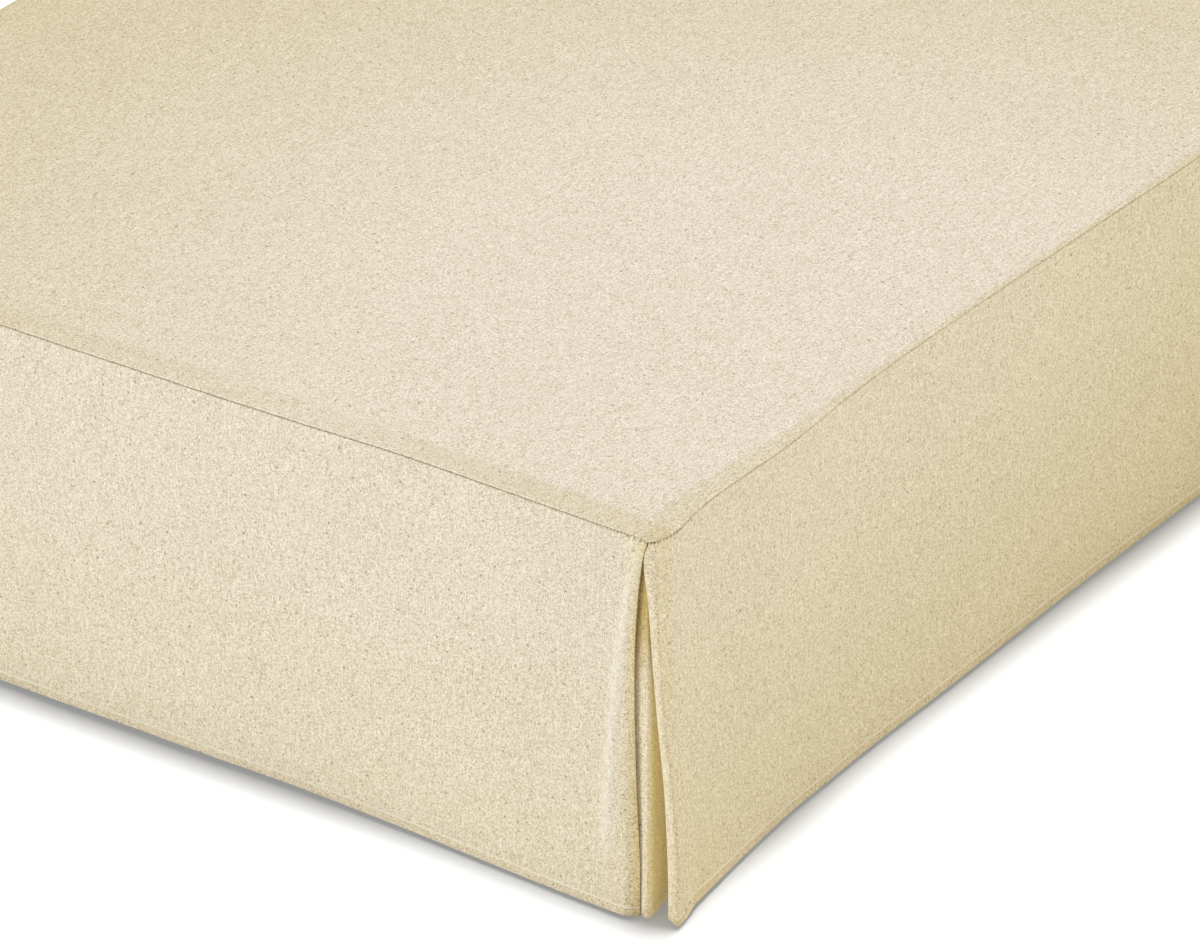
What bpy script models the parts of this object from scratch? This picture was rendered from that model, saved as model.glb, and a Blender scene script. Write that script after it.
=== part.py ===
"""Bed skirt with a flat deck panel, three drops and two open corner pleats, on a plain bed base.

World frame: metres, +Z up, origin on the floor under the middle of the bed. +X is to the right of
someone who stands at the foot of the bed and looks at it, +Y runs from the foot to the head.

Every cloth is one sheet: an open surface on its outer face, with Solidify for its thickness. A drop is
lofted from plan sections, one for each depth below the seam. Plan sizes are given from the corner of
the seam lines: "along" runs along the drop away from the corner, "out" stands proud of the seam line.
"""

from collections import namedtuple

import bmesh
import bpy
from mathutils import Vector

# Driving sizes
BED_WIDTH = 1.050          # between the seam lines of the two side drops
BED_LENGTH = 1.900         # from the foot seam line to the head end
DROP_LENGTH = 0.350        # seam to hem
HEM_CLEARANCE = 0.004      # hem above the floor
CLOTH = 0.0010             # thickness of the canvas
SEAM_GAP = 0.0005          # between the deck panel and what hangs from its seam
BASE_INSET = 0.0085        # from the seam line in to the face of the base
BASE_EDGE_RADIUS = 0.004
BASE_SEAT_GAP = 0.0003     # between the deck panel and the base, and between the base and its feet
FOOT_HEIGHT = 0.050
FOOT_TOP_RADIUS = 0.028
FOOT_FLOOR_RADIUS = 0.022
FOOT_INSET = 0.130         # from the seam lines to the middle of a foot
FOOT_SIDES = 32

# Pleats
FOLD_WIDTH = 0.0030        # outer width of a pleat's fold, leaf and return together
FOLD_CUT = 0.0015          # how far the rounding of a fold reaches
BEND_CUT = 0.0045          # the same at the soft bend beside it
TUCK_MID = 0.030           # distances from the corner along the return
TUCK_END = 0.060
DIP_ROOM = 0.30            # extra room where the deck rolls down, as a share of the dip

# Falloffs on the deck panel, from its rim inwards
RIM_REACH = 0.060          # where the seam line's waves have faded
DIP_REACH = 0.017          # where the roll over the base's edge has faded

# How the sheet is divided from seam to hem, and how far a side leaf has swung out there
DEPTH_SHARES = (0.0, 0.05, 0.11, 0.18, 0.31, 0.44, 0.56, 0.68, 0.84, 1.0)

EaseRow = namedtuple("EaseRow", "share swing")
EVEN_SWING = (EaseRow(0.0, 0.0), EaseRow(1.0, 1.0))
SLOW_SWING = (
    EaseRow(0.00, 0.00),
    EaseRow(0.05, 0.01),
    EaseRow(0.17, 0.06),
    EaseRow(0.31, 0.20),
    EaseRow(0.47, 0.42),
    EaseRow(0.66, 0.78),
    EaseRow(0.86, 0.98),
    EaseRow(1.00, 1.00),
)

# Seam lines: "dip" is how far the rim of the deck panel rolls down over the base's edge
SeamRow = namedtuple("SeamRow", "along out dip")
SIDE_SEAM = (
    SeamRow(-0.0055, 0.0003, 0.0000),
    SeamRow(-0.0012, 0.0048, 0.0003),
    SeamRow(0.0062, 0.0060, 0.0013),
    SeamRow(0.0170, 0.0062, 0.0031),
    SeamRow(0.0320, 0.0064, 0.0030),
    SeamRow(0.0500, 0.0050, 0.0011),
    SeamRow(0.0800, 0.0028, 0.0002),
    SeamRow(0.1150, 0.0025, 0.0000),
    SeamRow(0.1850, 0.0035, 0.0000),
    SeamRow(0.2300, 0.0016, 0.0000),
    SeamRow(0.2930, -0.0027, 0.0000),
    SeamRow(0.3880, -0.0047, 0.0000),
    SeamRow(0.5710, -0.0018, 0.0000),
    SeamRow(0.6970, 0.0009, 0.0000),
    SeamRow(0.8240, 0.0044, 0.0000),
    SeamRow(1.1000, 0.0012, 0.0000),
    SeamRow(1.5000, -0.0018, 0.0000),
    SeamRow(1.9000, 0.0000, 0.0000),
)
FOOT_SEAM = (
    SeamRow(0.0000, 0.0055, 0.0000),
    SeamRow(0.0060, 0.0042, 0.0000),
    SeamRow(0.0140, 0.0034, 0.0000),
    SeamRow(0.0460, 0.0027, 0.0000),
    SeamRow(0.1200, 0.0004, 0.0000),
    SeamRow(0.2460, -0.0030, 0.0000),
    SeamRow(0.3500, -0.0006, 0.0000),
    SeamRow(0.4600, 0.0005, 0.0000),
    SeamRow(0.5250, 0.0003, 0.0000),
)

# Hem lines, where the leaf hangs beyond its soft bend
HemRow = namedtuple("HemRow", "along out rise")
SIDE_HEM = (
    HemRow(0.0218, 0.0246, -0.0008),
    HemRow(0.0334, 0.0208, 0.0004),
    HemRow(0.0440, 0.0192, 0.0004),
    HemRow(0.0620, 0.0172, 0.0002),
    HemRow(0.0980, 0.0124, 0.0000),
    HemRow(0.1330, 0.0090, 0.0000),
    HemRow(0.2020, 0.0034, 0.0000),
    HemRow(0.2640, 0.0018, 0.0000),
    HemRow(0.3290, 0.0000, 0.0000),
    HemRow(0.4700, 0.0006, 0.0000),
    HemRow(0.6500, -0.0010, 0.0000),
    HemRow(0.8400, 0.0012, 0.0000),
    HemRow(1.2000, 0.0024, 0.0000),
    HemRow(1.6000, -0.0012, 0.0000),
    HemRow(1.9000, 0.0010, 0.0000),
)
FOOT_HEM = (
    HemRow(0.0220, 0.0103, 0.0000),
    HemRow(0.0420, 0.0100, 0.0000),
    HemRow(0.0830, 0.0087, 0.0000),
    HemRow(0.1450, 0.0057, 0.0000),
    HemRow(0.2500, 0.0007, 0.0000),
    HemRow(0.3550, -0.0018, 0.0000),
    HemRow(0.4580, -0.0003, 0.0000),
    HemRow(0.5250, -0.0005, 0.0000),
)

# A leaf's edge at each depth: its soft bend, its fold and the place where its return turns away
LeafRow = namedtuple("LeafRow", "share bend_along bend_out fold_along fold_out turn_along turn_out")
SIDE_LEAF = (
    LeafRow(0.00, 0.0005, 0.0058, -0.0050, 0.0008, 0.0040, 0.0020),
    LeafRow(0.05, 0.0000, 0.0066, -0.0034, -0.0043, 0.0045, 0.0020),
    LeafRow(0.17, -0.0015, 0.0085, -0.0015, -0.0012, 0.0050, 0.0032),
    LeafRow(0.31, -0.0018, 0.0115, -0.0004, 0.0017, 0.0060, 0.0060),
    LeafRow(0.47, -0.0013, 0.0152, 0.0011, 0.0058, 0.0080, 0.0088),
    LeafRow(0.66, -0.0004, 0.0230, 0.0032, 0.0112, 0.0110, 0.0118),
    LeafRow(0.86, 0.0005, 0.0273, 0.0043, 0.0142, 0.0130, 0.0128),
    LeafRow(1.00, 0.0009, 0.0270, 0.0045, 0.0148, 0.0135, 0.0124),
)
FOOT_LEAF = (
    LeafRow(0.00, 0.0120, 0.0036, 0.0030, 0.0040, 0.0110, 0.0000),
    LeafRow(0.05, 0.0170, 0.0038, 0.0074, 0.0032, 0.0140, 0.0000),
    LeafRow(0.17, 0.0190, 0.0046, 0.0100, 0.0035, 0.0170, -0.0002),
    LeafRow(0.31, 0.0200, 0.0056, 0.0121, 0.0039, 0.0190, 0.0002),
    LeafRow(0.47, 0.0195, 0.0066, 0.0118, 0.0040, 0.0190, 0.0008),
    LeafRow(0.66, 0.0185, 0.0080, 0.0099, 0.0040, 0.0185, 0.0014),
    LeafRow(0.86, 0.0175, 0.0096, 0.0073, 0.0030, 0.0180, 0.0018),
    LeafRow(1.00, 0.0170, 0.0102, 0.0074, 0.0025, 0.0170, 0.0020),
)

# One drop's own way of hanging at a pleat: tuck_out is the return's place at the seam and at the hem
Drape = namedtuple("Drape", "seam hem leaf swing stations bend_rise fold_rise tuck_mid_out tuck_end_out")
SIDE_DRAPE = Drape(
    seam=SIDE_SEAM,
    hem=SIDE_HEM,
    leaf=SIDE_LEAF,
    swing=SLOW_SWING,
    stations=(
        0.017, 0.025, 0.034, 0.044, 0.058, 0.078, 0.105, 0.140, 0.185, 0.230,
        0.293, 0.388, 0.480, 0.571, 0.697, 0.824, 1.100, 1.500, 1.900,
    ),
    bend_rise=-0.0020,
    fold_rise=0.0015,
    tuck_mid_out=(0.0024, 0.0030),
    tuck_end_out=(0.0008, 0.0002),
)
FOOT_DRAPE = Drape(
    seam=FOOT_SEAM,
    hem=FOOT_HEM,
    leaf=FOOT_LEAF,
    swing=EVEN_SWING,
    stations=(0.028, 0.042, 0.060, 0.083, 0.115, 0.155, 0.200, 0.246, 0.300, 0.355, 0.440, 0.525),
    bend_rise=0.0000,
    fold_rise=0.0000,
    tuck_mid_out=(-0.0010, 0.0018),
    tuck_end_out=(-0.0014, -0.0006),
)

# The pleat's backing turns the corner of the base: plan places at the seam and at the hem
BackRow = namedtuple("BackRow", "seam_x seam_y hem_x hem_y")
PLEAT_BACK = (
    BackRow(-0.0600, 0.0022, -0.0600, 0.0018),
    BackRow(-0.0300, 0.0018, -0.0300, 0.0002),
    BackRow(-0.0140, 0.0016, -0.0130, -0.0010),
    BackRow(-0.0070, 0.0020, -0.0062, -0.0016),
    BackRow(-0.0036, 0.0030, -0.0012, -0.0030),
    BackRow(-0.0018, 0.0052, 0.0008, 0.0006),
    BackRow(-0.0010, 0.0090, 0.0002, 0.0070),
    BackRow(-0.0010, 0.0180, -0.0016, 0.0170),
    BackRow(-0.0012, 0.0350, -0.0050, 0.0347),
    BackRow(-0.0014, 0.0600, -0.0052, 0.0600),
)

# Stations across half of the deck panel from its side rim, and along it from its foot rim
DECK_ACROSS = (0.0, 0.003, 0.007, 0.012, 0.018, 0.028, 0.046, 0.083, 0.155, 0.246, 0.355, 0.440, 0.525)
DECK_ALONG = (
    0.0, 0.004, 0.010, 0.017, 0.025, 0.034, 0.044, 0.058, 0.078, 0.115, 0.185,
    0.230, 0.293, 0.388, 0.571, 0.697, 0.824, 1.100, 1.500, 1.900,
)

SEAM_HEIGHT = HEM_CLEARANCE + DROP_LENGTH
HALF_WIDTH = BED_WIDTH / 2.0

# The foot leaves reach beyond the seam line, so the bed sits half of that reach towards the head
FOOT_REACH = FOOT_LEAF[-1].bend_out
FOOT_LINE = (FOOT_REACH - BED_LENGTH) / 2.0
HEAD_LINE = FOOT_LINE + BED_LENGTH

CANVAS_COLOR = (0.80, 0.72, 0.56)
CANVAS_SHADE_COLOR = (0.74, 0.65, 0.47)
BASE_COLOR = (0.66, 0.64, 0.60)
FOOT_COLOR = (0.10, 0.07, 0.05)


def smooth(table, column, place):
    """Value of a named column at a place, on a smooth curve through the table's rows."""
    keys = [row[0] for row in table]
    values = [getattr(row, column) for row in table]
    last = len(keys) - 1
    if place <= keys[0]:
        return values[0]
    if place >= keys[last]:
        return values[last]
    low = max(index for index in range(last) if keys[index] <= place)

    def slope(index):
        before, after = max(index - 1, 0), min(index + 1, last)
        return (values[after] - values[before]) / (keys[after] - keys[before])

    width = keys[low + 1] - keys[low]
    t = (place - keys[low]) / width
    start = values[low] * (1 + 2 * t) + slope(low) * width * t
    end = values[low + 1] * (3 - 2 * t) + slope(low + 1) * width * (t - 1)
    return start * (1 - t) ** 2 + end * t ** 2


def faded(distance, reach):
    """One at the rim, easing to nothing at the reach."""
    return max(0.0, 1.0 - distance / reach) ** 2


def rounded(points, cuts, steps):
    """Corner points with a cut become a soft turn of several points; the others stay."""
    result = []
    for index, point in enumerate(points):
        cut = cuts[index]
        if not cut:
            result.append(point)
            continue
        before = points[index - 1] - point
        after = points[index + 1] - point
        start = point + before * min(cut / before.length, 0.45)
        end = point + after * min(cut / after.length, 0.45)
        for step in range(steps):
            t = step / (steps - 1)
            result.append(start * (1 - t) ** 2 + point * 2 * t * (1 - t) + end * t ** 2)
    return result


def leaf_section(drape, share):
    """Plan section of a drop at one depth, from the end of its return to its last station.

    Each point is (along, out, rise): rise is what the hem stands above the usual hem there.
    """
    swing = smooth(drape.swing, "swing", share)
    bend = Vector((
        smooth(drape.leaf, "bend_along", share),
        smooth(drape.leaf, "bend_out", share),
        drape.bend_rise,
    ))
    fold = Vector((
        smooth(drape.leaf, "fold_along", share),
        smooth(drape.leaf, "fold_out", share),
        drape.fold_rise,
    ))
    turn = Vector((
        smooth(drape.leaf, "turn_along", share),
        smooth(drape.leaf, "turn_out", share),
        drape.fold_rise,
    ))
    tuck_mid = Vector((TUCK_MID, between(drape.tuck_mid_out, swing), drape.fold_rise))
    tuck_end = Vector((TUCK_END, between(drape.tuck_end_out, swing), drape.fold_rise))

    # The fold is a U-turn at the seam and opens towards the hem
    facet = fold - bend
    inward = Vector((-facet.y, facet.x, 0.0)).normalized()
    if inward.dot(tuck_mid - fold) < 0.0:
        inward.negate()
    onward = turn - fold
    onward.z = 0.0
    inner_fold = fold + inward.lerp(onward.normalized(), swing).normalized() * FOLD_WIDTH
    inner_fold.z = drape.fold_rise

    leaf = []
    for along in drape.stations:
        seam_out = smooth(drape.seam, "out", along)
        hem_out = smooth(drape.hem, "out", along)
        leaf.append(Vector((
            along,
            seam_out + (hem_out - seam_out) * swing,
            smooth(drape.hem, "rise", along),
        )))

    corner = [tuck_end, tuck_mid, turn, inner_fold, fold, bend]
    cuts = [0.0, 0.0, 0.0, FOLD_CUT, FOLD_CUT, BEND_CUT]
    return rounded(corner + leaf, cuts + [0.0] * len(leaf), 4)


def between(ends, share):
    """Value between a (seam, hem) pair."""
    return ends[0] + (ends[1] - ends[0]) * share


def deck_top(x, y):
    """Height of the deck panel's upper face, from plan places measured from the right foot corner."""
    rim_distance = smooth(SIDE_SEAM, "out", y) - x
    return SEAM_HEIGHT - smooth(SIDE_SEAM, "dip", y) * faded(max(rim_distance, 0.0), DIP_REACH)


def hung_sheet(sections):
    """Rows of world points from seam to hem, from plan sections of (x, y, rise) at the right corner."""
    tops = [
        deck_top(point.x, point.y) - CLOTH - SEAM_GAP - DIP_ROOM * smooth(SIDE_SEAM, "dip", point.y)
        for point in sections[0]
    ]
    rows = []
    for share, section in zip(DEPTH_SHARES, sections):
        row = []
        for top, point in zip(tops, section):
            height = top + (HEM_CLEARANCE + point.z - top) * share
            row.append(Vector((HALF_WIDTH + point.x, FOOT_LINE + point.y, height)))
        rows.append(row)
    return rows


def loft(name, rows, color, collection, mirrored=False):
    """Open sheet through rows of points, thickened inwards; its faces look out with rows going down."""
    mesh = bpy.data.meshes.new(name)
    sheet = bmesh.new()
    side = -1.0 if mirrored else 1.0
    grid = [[sheet.verts.new((side * p.x, p.y, p.z)) for p in row] for row in rows]
    for upper, lower in zip(grid, grid[1:]):
        for left in range(len(upper) - 1):
            corners = [upper[left], lower[left], lower[left + 1], upper[left + 1]]
            sheet.faces.new(reversed(corners) if mirrored else corners)
    sheet.to_mesh(mesh)
    sheet.free()
    mesh.shade_smooth()
    return finished(name, mesh, color, collection)


def finished(name, mesh, color, collection, roughness=0.9):
    """Named object for a mesh, in the part's collection, with its own material."""
    part = bpy.data.objects.new(name, mesh)
    collection.objects.link(part)
    material = bpy.data.materials.new(name)
    material.use_nodes = True
    shader = material.node_tree.nodes["Principled BSDF"]
    shader.inputs["Base Color"].default_value = (*color, 1.0)
    shader.inputs["Roughness"].default_value = roughness
    shader.inputs["Metallic"].default_value = 0.0
    mesh.materials.append(material)
    return part


def thicken(part):
    """The cloth's thickness, on the inner side of its outer face."""
    solidify = part.modifiers.new("cloth thickness", "SOLIDIFY")
    solidify.thickness = CLOTH
    solidify.offset = -1.0
    solidify.use_even_offset = False


def mirror_across_bed(part):
    """The other half of a piece that is open at the bed's middle plane."""
    mirror = part.modifiers.new("other half", "MIRROR")
    mirror.use_axis = (True, False, False)
    mirror.merge_threshold = 0.0001


def make_deck_panel(collection):
    """Flat cloth on the base, with the seam line's waves at its rim and rolled down near the corners."""
    rows = []
    for along in reversed(DECK_ALONG):
        row = []
        for across in reversed(DECK_ACROSS):
            y = along - smooth(FOOT_SEAM, "out", across) * faded(along, RIM_REACH)
            x = smooth(SIDE_SEAM, "out", y) * faded(across, RIM_REACH) - across
            row.append(Vector((HALF_WIDTH + x, FOOT_LINE + y, deck_top(x, y))))
        rows.append(row)
    panel = loft("deck_panel", rows, CANVAS_COLOR, collection)
    mirror_across_bed(panel)
    thicken(panel)


def make_foot_drop(collection):
    """Drop across the foot, with a leaf and a return at either end."""
    sections = []
    for share in DEPTH_SHARES:
        section = leaf_section(FOOT_DRAPE, share)
        sections.append([Vector((-p.x, -p.y, p.z)) for p in reversed(section)])
    drop = loft("drop_foot", hung_sheet(sections), CANVAS_COLOR, collection)
    mirror_across_bed(drop)
    thicken(drop)


def make_side_drop(name, collection, mirrored):
    """Drop along one side, with a leaf and a return at the foot corner and a plain end at the head."""
    sections = []
    for share in DEPTH_SHARES:
        sections.append([Vector((p.y, p.x, p.z)) for p in leaf_section(SIDE_DRAPE, share)])
    drop = loft(name, hung_sheet(sections), CANVAS_COLOR, collection, mirrored)
    thicken(drop)


def make_pleat_back(name, collection, mirrored):
    """Backing behind two leaves, bent round the corner of the base."""
    sections = []
    for share in DEPTH_SHARES:
        sections.append([
            Vector((between((r.seam_x, r.hem_x), share), between((r.seam_y, r.hem_y), share), 0.0))
            for r in PLEAT_BACK
        ])
    back = loft(name, hung_sheet(sections), CANVAS_SHADE_COLOR, collection, mirrored)
    thicken(back)


def make_base(collection):
    """Plain block of the bed base, with softened edges."""
    low = Vector((BASE_INSET - HALF_WIDTH, FOOT_LINE + BASE_INSET, FOOT_HEIGHT))
    high = Vector((HALF_WIDTH - BASE_INSET, HEAD_LINE, SEAM_HEIGHT - CLOTH - BASE_SEAT_GAP))
    mesh = bpy.data.meshes.new("bed_base")
    block = bmesh.new()
    bmesh.ops.create_cube(block, size=1.0)
    bmesh.ops.scale(block, verts=block.verts, vec=high - low)
    bmesh.ops.translate(block, verts=block.verts, vec=(high + low) / 2.0)
    block.to_mesh(mesh)
    block.free()
    base = finished("bed_base", mesh, BASE_COLOR, collection)
    bevel = base.modifiers.new("softened edges", "BEVEL")
    bevel.width = BASE_EDGE_RADIUS
    bevel.segments = 3


def make_feet(collection):
    """Four short tapered feet under the base."""
    reach = HALF_WIDTH - FOOT_INSET
    front = FOOT_LINE + FOOT_INSET
    back = HEAD_LINE - FOOT_INSET
    height = FOOT_HEIGHT - BASE_SEAT_GAP
    places = {
        "foot_front_left": (-reach, front),
        "foot_front_right": (reach, front),
        "foot_back_left": (-reach, back),
        "foot_back_right": (reach, back),
    }
    for name, (x, y) in places.items():
        mesh = bpy.data.meshes.new(name)
        turned = bmesh.new()
        bmesh.ops.create_cone(
            turned,
            cap_ends=True,
            segments=FOOT_SIDES,
            radius1=FOOT_FLOOR_RADIUS,
            radius2=FOOT_TOP_RADIUS,
            depth=height,
        )
        turned.to_mesh(mesh)
        turned.free()
        foot = finished(name, mesh, FOOT_COLOR, collection, roughness=0.5)
        foot.location = (x, y, height / 2.0)


def main():
    """Clear the scene and build the skirt and its base."""
    for old in list(bpy.data.objects):
        bpy.data.objects.remove(old, do_unlink=True)
    collection = bpy.data.collections.new("bed skirt on a bed base")
    bpy.context.scene.collection.children.link(collection)
    make_deck_panel(collection)
    make_foot_drop(collection)
    for side, mirrored in (("right", False), ("left", True)):
        make_side_drop("drop_" + side, collection, mirrored)
        make_pleat_back("pleat_" + side, collection, mirrored)
    make_base(collection)
    make_feet(collection)


main()
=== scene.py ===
"""Looks of a natural canvas bed skirt on its plain bed base.

World frame: metres, +Z up, the floor at zero, +X to the right of someone who stands at the foot of the
bed, +Y towards the head. Plan places are given from the right foot corner of the seam lines: "along"
runs along a drop away from that corner, "out" stands proud of the seam line, "depth" runs down from
the seam. Every cloth is one sheet, made as a fine grid on its outer face and thickened inwards.
"""

import logging
import math
from bisect import bisect_right
from collections import defaultdict
from dataclasses import dataclass, field
from enum import Enum
from typing import Callable, Iterable, NamedTuple, Sequence

import bpy
from mathutils import Matrix, Vector, noise


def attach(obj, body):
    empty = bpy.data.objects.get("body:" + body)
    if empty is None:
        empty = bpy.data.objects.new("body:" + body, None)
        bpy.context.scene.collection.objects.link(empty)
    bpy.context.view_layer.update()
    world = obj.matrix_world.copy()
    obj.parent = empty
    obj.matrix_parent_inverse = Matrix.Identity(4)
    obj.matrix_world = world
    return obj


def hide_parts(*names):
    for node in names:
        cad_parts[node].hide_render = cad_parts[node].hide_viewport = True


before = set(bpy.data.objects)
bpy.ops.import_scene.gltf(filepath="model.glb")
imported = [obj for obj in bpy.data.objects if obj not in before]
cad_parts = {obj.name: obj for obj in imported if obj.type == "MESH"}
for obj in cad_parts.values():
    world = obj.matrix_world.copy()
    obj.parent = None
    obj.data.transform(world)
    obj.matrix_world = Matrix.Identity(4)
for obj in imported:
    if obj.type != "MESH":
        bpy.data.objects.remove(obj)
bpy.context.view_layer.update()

logging.basicConfig(level=logging.INFO, format="%(name)s: %(message)s")
LOG = logging.getLogger("bed_skirt")

# Main sizes of the skirt and the base that it hangs on
BED_WIDTH = 1.050
BED_LENGTH = 1.900
DROP_LENGTH = 0.350
HEM_CLEARANCE = 0.004
SEAM_HEIGHT = HEM_CLEARANCE + DROP_LENGTH
HALF_WIDTH = BED_WIDTH / 2.0
FOOT_REACH = 0.0102
FOOT_LINE = (FOOT_REACH - BED_LENGTH) / 2.0

# Cloth
CLOTH = 0.0008             # thickness of the canvas
ROLL = 0.0014              # radius of the deck panel's turned rim at the seam
RIM_TURN = math.radians(80)  # how far round that radius the rim turns
DIP_ROOM = 0.10            # extra room under the rim where the deck rolls down, as a share of the dip
RIM_REACH = 0.060          # where the seam line's waves have faded on the deck
DIP_REACH = 0.017          # where the roll over the base's edge has faded
FOLD_WIDTH = 0.0019        # outer width of a pleat's fold, leaf and return together
FOLD_CUT = 0.0010          # how far the rounding of a fold reaches
BEND_CUT = 0.0050          # the same at the soft bend beside it
TURN_CUT = 0.0030          # and at the gentle turns of the return
TUCK_MID = 0.030
TUCK_END = 0.060
HEM_TURN = 0.00095         # half the thickness of the turned hem
HEM_BAND = 0.0090          # edge to topstitching
SEAM_STITCH = 0.0034       # pitch of the seam's stitches at the foot, and drawn apart at the sides
SIDE_STITCH = 0.0044
HEM_STITCH = 0.0034        # pitch of the hem's topstitching
LOOSE_STITCH = 0.0064      # pitch of the needle marks where its thread is gone
FAR = 1.0                  # stands for "nowhere near" in a distance mark
FOOT_END = 3250 * SEAM_STITCH  # the right corner on the foot drop's cloth, a whole number of stitches along

# Marks that the sheets carry for their finishes; three of them paint light and shade: a painted highlight
# on folds and creases, painted shade in folds and hollows, and a painted glow on the pleats' backing
MARKS = ("hem", "stitch", "seam", "press", "holes", "allowance", "inner", "glow")
Marks = dict[str, list[float]]
Places = Callable[[float], float]
CLOTH_START = {"left": 4.0, "right back": 20.0, "left back": 21.0, "deck": 30.0}  # keeps the cuts apart


class SeamRow(NamedTuple):
    """Seam line at one place: how far it stands out, and how far the deck rolls down to it."""

    along: float
    out: float
    dip: float


class HemRow(NamedTuple):
    """Hem line at one place: how far it stands out, and what it stands above the usual hem."""

    along: float
    out: float
    rise: float


class LeafRow(NamedTuple):
    """Plan of a leaf's edge at one share of the depth: soft bend, fold, and turn of the return."""

    share: float
    bend_along: float
    bend_out: float
    fold_along: float
    fold_out: float
    turn_along: float
    turn_out: float


class EaseRow(NamedTuple):
    """How far a drop has swung out to its hem line at one share of the depth."""

    share: float
    swing: float


class BackRow(NamedTuple):
    """One upright line of a pleat's backing: plan places at the seam and at the hem."""

    seam_x: float
    seam_y: float
    hem_x: float
    hem_y: float


class LineRow(NamedTuple):
    """A width or height that changes along a drop."""

    along: float
    value: float


def table(kind: type, *rows: tuple[float, ...]) -> tuple:
    """Rows of one kind from their plain numbers."""
    return tuple(kind(*row) for row in rows)


EVEN_SWING = table(EaseRow, (0.0, 0.0), (1.0, 1.0))
SLOW_SWING = table(
    EaseRow,
    (0.00, 0.00), (0.05, 0.01), (0.17, 0.06), (0.31, 0.20), (0.47, 0.42), (0.66, 0.78), (0.86, 0.98),
    (1.00, 1.00),
)
SIDE_SEAM = table(
    SeamRow,
    (-0.0055, 0.0022, 0.0000), (-0.0012, 0.0050, 0.0003), (0.0062, 0.0060, 0.0013),
    (0.0170, 0.0062, 0.0031), (0.0320, 0.0064, 0.0030), (0.0500, 0.0050, 0.0011),
    (0.0800, 0.0028, 0.0002), (0.1150, 0.0025, 0.0000), (0.1850, 0.0035, 0.0000),
    (0.2300, 0.0016, 0.0000), (0.2930, -0.0027, 0.0000), (0.3880, -0.0047, 0.0000),
    (0.5710, -0.0018, 0.0000), (0.6970, 0.0009, 0.0000), (0.8240, 0.0044, 0.0000),
    (1.1000, 0.0012, 0.0000), (1.5000, -0.0018, 0.0000), (1.9000, 0.0000, 0.0000),
)
FOOT_SEAM = table(
    SeamRow,
    (-0.0022, 0.0055, 0.0000), (0.0060, 0.0042, 0.0000), (0.0140, 0.0034, 0.0000),
    (0.0460, 0.0027, 0.0000), (0.1200, 0.0004, 0.0000), (0.2460, -0.0030, 0.0000),
    (0.3500, -0.0006, 0.0000), (0.4600, 0.0005, 0.0000), (0.5250, 0.0003, 0.0000),
)
SIDE_HEM = table(
    HemRow,
    (0.0060, 0.0264, -0.0008), (0.0218, 0.0240, -0.0006), (0.0334, 0.0208, 0.0004),
    (0.0440, 0.0192, 0.0004), (0.0620, 0.0172, 0.0002), (0.0980, 0.0124, 0.0000),
    (0.1330, 0.0090, 0.0000), (0.2020, 0.0034, 0.0000), (0.2640, 0.0018, 0.0000),
    (0.3290, 0.0000, 0.0000), (0.4700, 0.0006, 0.0000), (0.6500, -0.0010, 0.0000),
    (0.8400, 0.0012, 0.0000), (1.2000, 0.0024, 0.0000), (1.6000, -0.0012, 0.0000),
    (1.9000, 0.0010, 0.0000),
)
FOOT_HEM = table(
    HemRow,
    (0.0220, 0.0103, 0.0000), (0.0420, 0.0100, 0.0000), (0.0830, 0.0087, 0.0000),
    (0.1450, 0.0057, 0.0000), (0.2500, 0.0007, 0.0006), (0.3550, -0.0018, 0.0014),
    (0.4580, -0.0003, 0.0023), (0.5250, -0.0005, 0.0026),
)
SIDE_LEAF = table(
    LeafRow,
    (0.00, 0.0005, 0.0060, -0.0048, 0.0026, 0.0040, 0.0026),
    (0.05, 0.0000, 0.0068, -0.0034, -0.0043, 0.0045, 0.0020),
    (0.17, -0.0015, 0.0085, -0.0015, -0.0012, 0.0050, 0.0032),
    (0.31, -0.0018, 0.0115, -0.0004, 0.0017, 0.0060, 0.0060),
    (0.47, -0.0013, 0.0152, 0.0011, 0.0058, 0.0080, 0.0088),
    (0.66, -0.0004, 0.0230, 0.0032, 0.0112, 0.0110, 0.0118),
    (0.86, 0.0005, 0.0273, 0.0043, 0.0142, 0.0130, 0.0128),
    (1.00, 0.0009, 0.0270, 0.0045, 0.0148, 0.0135, 0.0124),
)
FOOT_LEAF = table(
    LeafRow,
    (0.00, 0.0120, 0.0040, -0.0004, 0.0050, 0.0110, 0.0010),
    (0.05, 0.0170, 0.0038, 0.0052, 0.0034, 0.0140, 0.0004),
    (0.17, 0.0190, 0.0046, 0.0100, 0.0035, 0.0170, -0.0002),
    (0.31, 0.0200, 0.0056, 0.0121, 0.0039, 0.0190, 0.0002),
    (0.47, 0.0195, 0.0066, 0.0118, 0.0040, 0.0190, 0.0008),
    (0.66, 0.0185, 0.0080, 0.0099, 0.0040, 0.0185, 0.0014),
    (0.86, 0.0175, 0.0096, 0.0073, 0.0030, 0.0180, 0.0018),
    (1.00, 0.0170, 0.0102, 0.0074, 0.0025, 0.0170, 0.0020),
)
PLEAT_BACK = table(
    BackRow,
    (-0.0600, 0.0022, -0.0600, 0.0018), (-0.0300, 0.0018, -0.0300, 0.0002),
    (-0.0140, 0.0016, -0.0130, -0.0010), (-0.0070, 0.0020, -0.0062, -0.0016),
    (-0.0036, 0.0030, -0.0012, -0.0030), (-0.0018, 0.0052, 0.0008, 0.0006),
    (-0.0010, 0.0090, 0.0002, 0.0070), (-0.0010, 0.0180, -0.0016, 0.0170),
    (-0.0012, 0.0350, -0.0050, 0.0347), (-0.0014, 0.0600, -0.0052, 0.0600),
)

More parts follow.
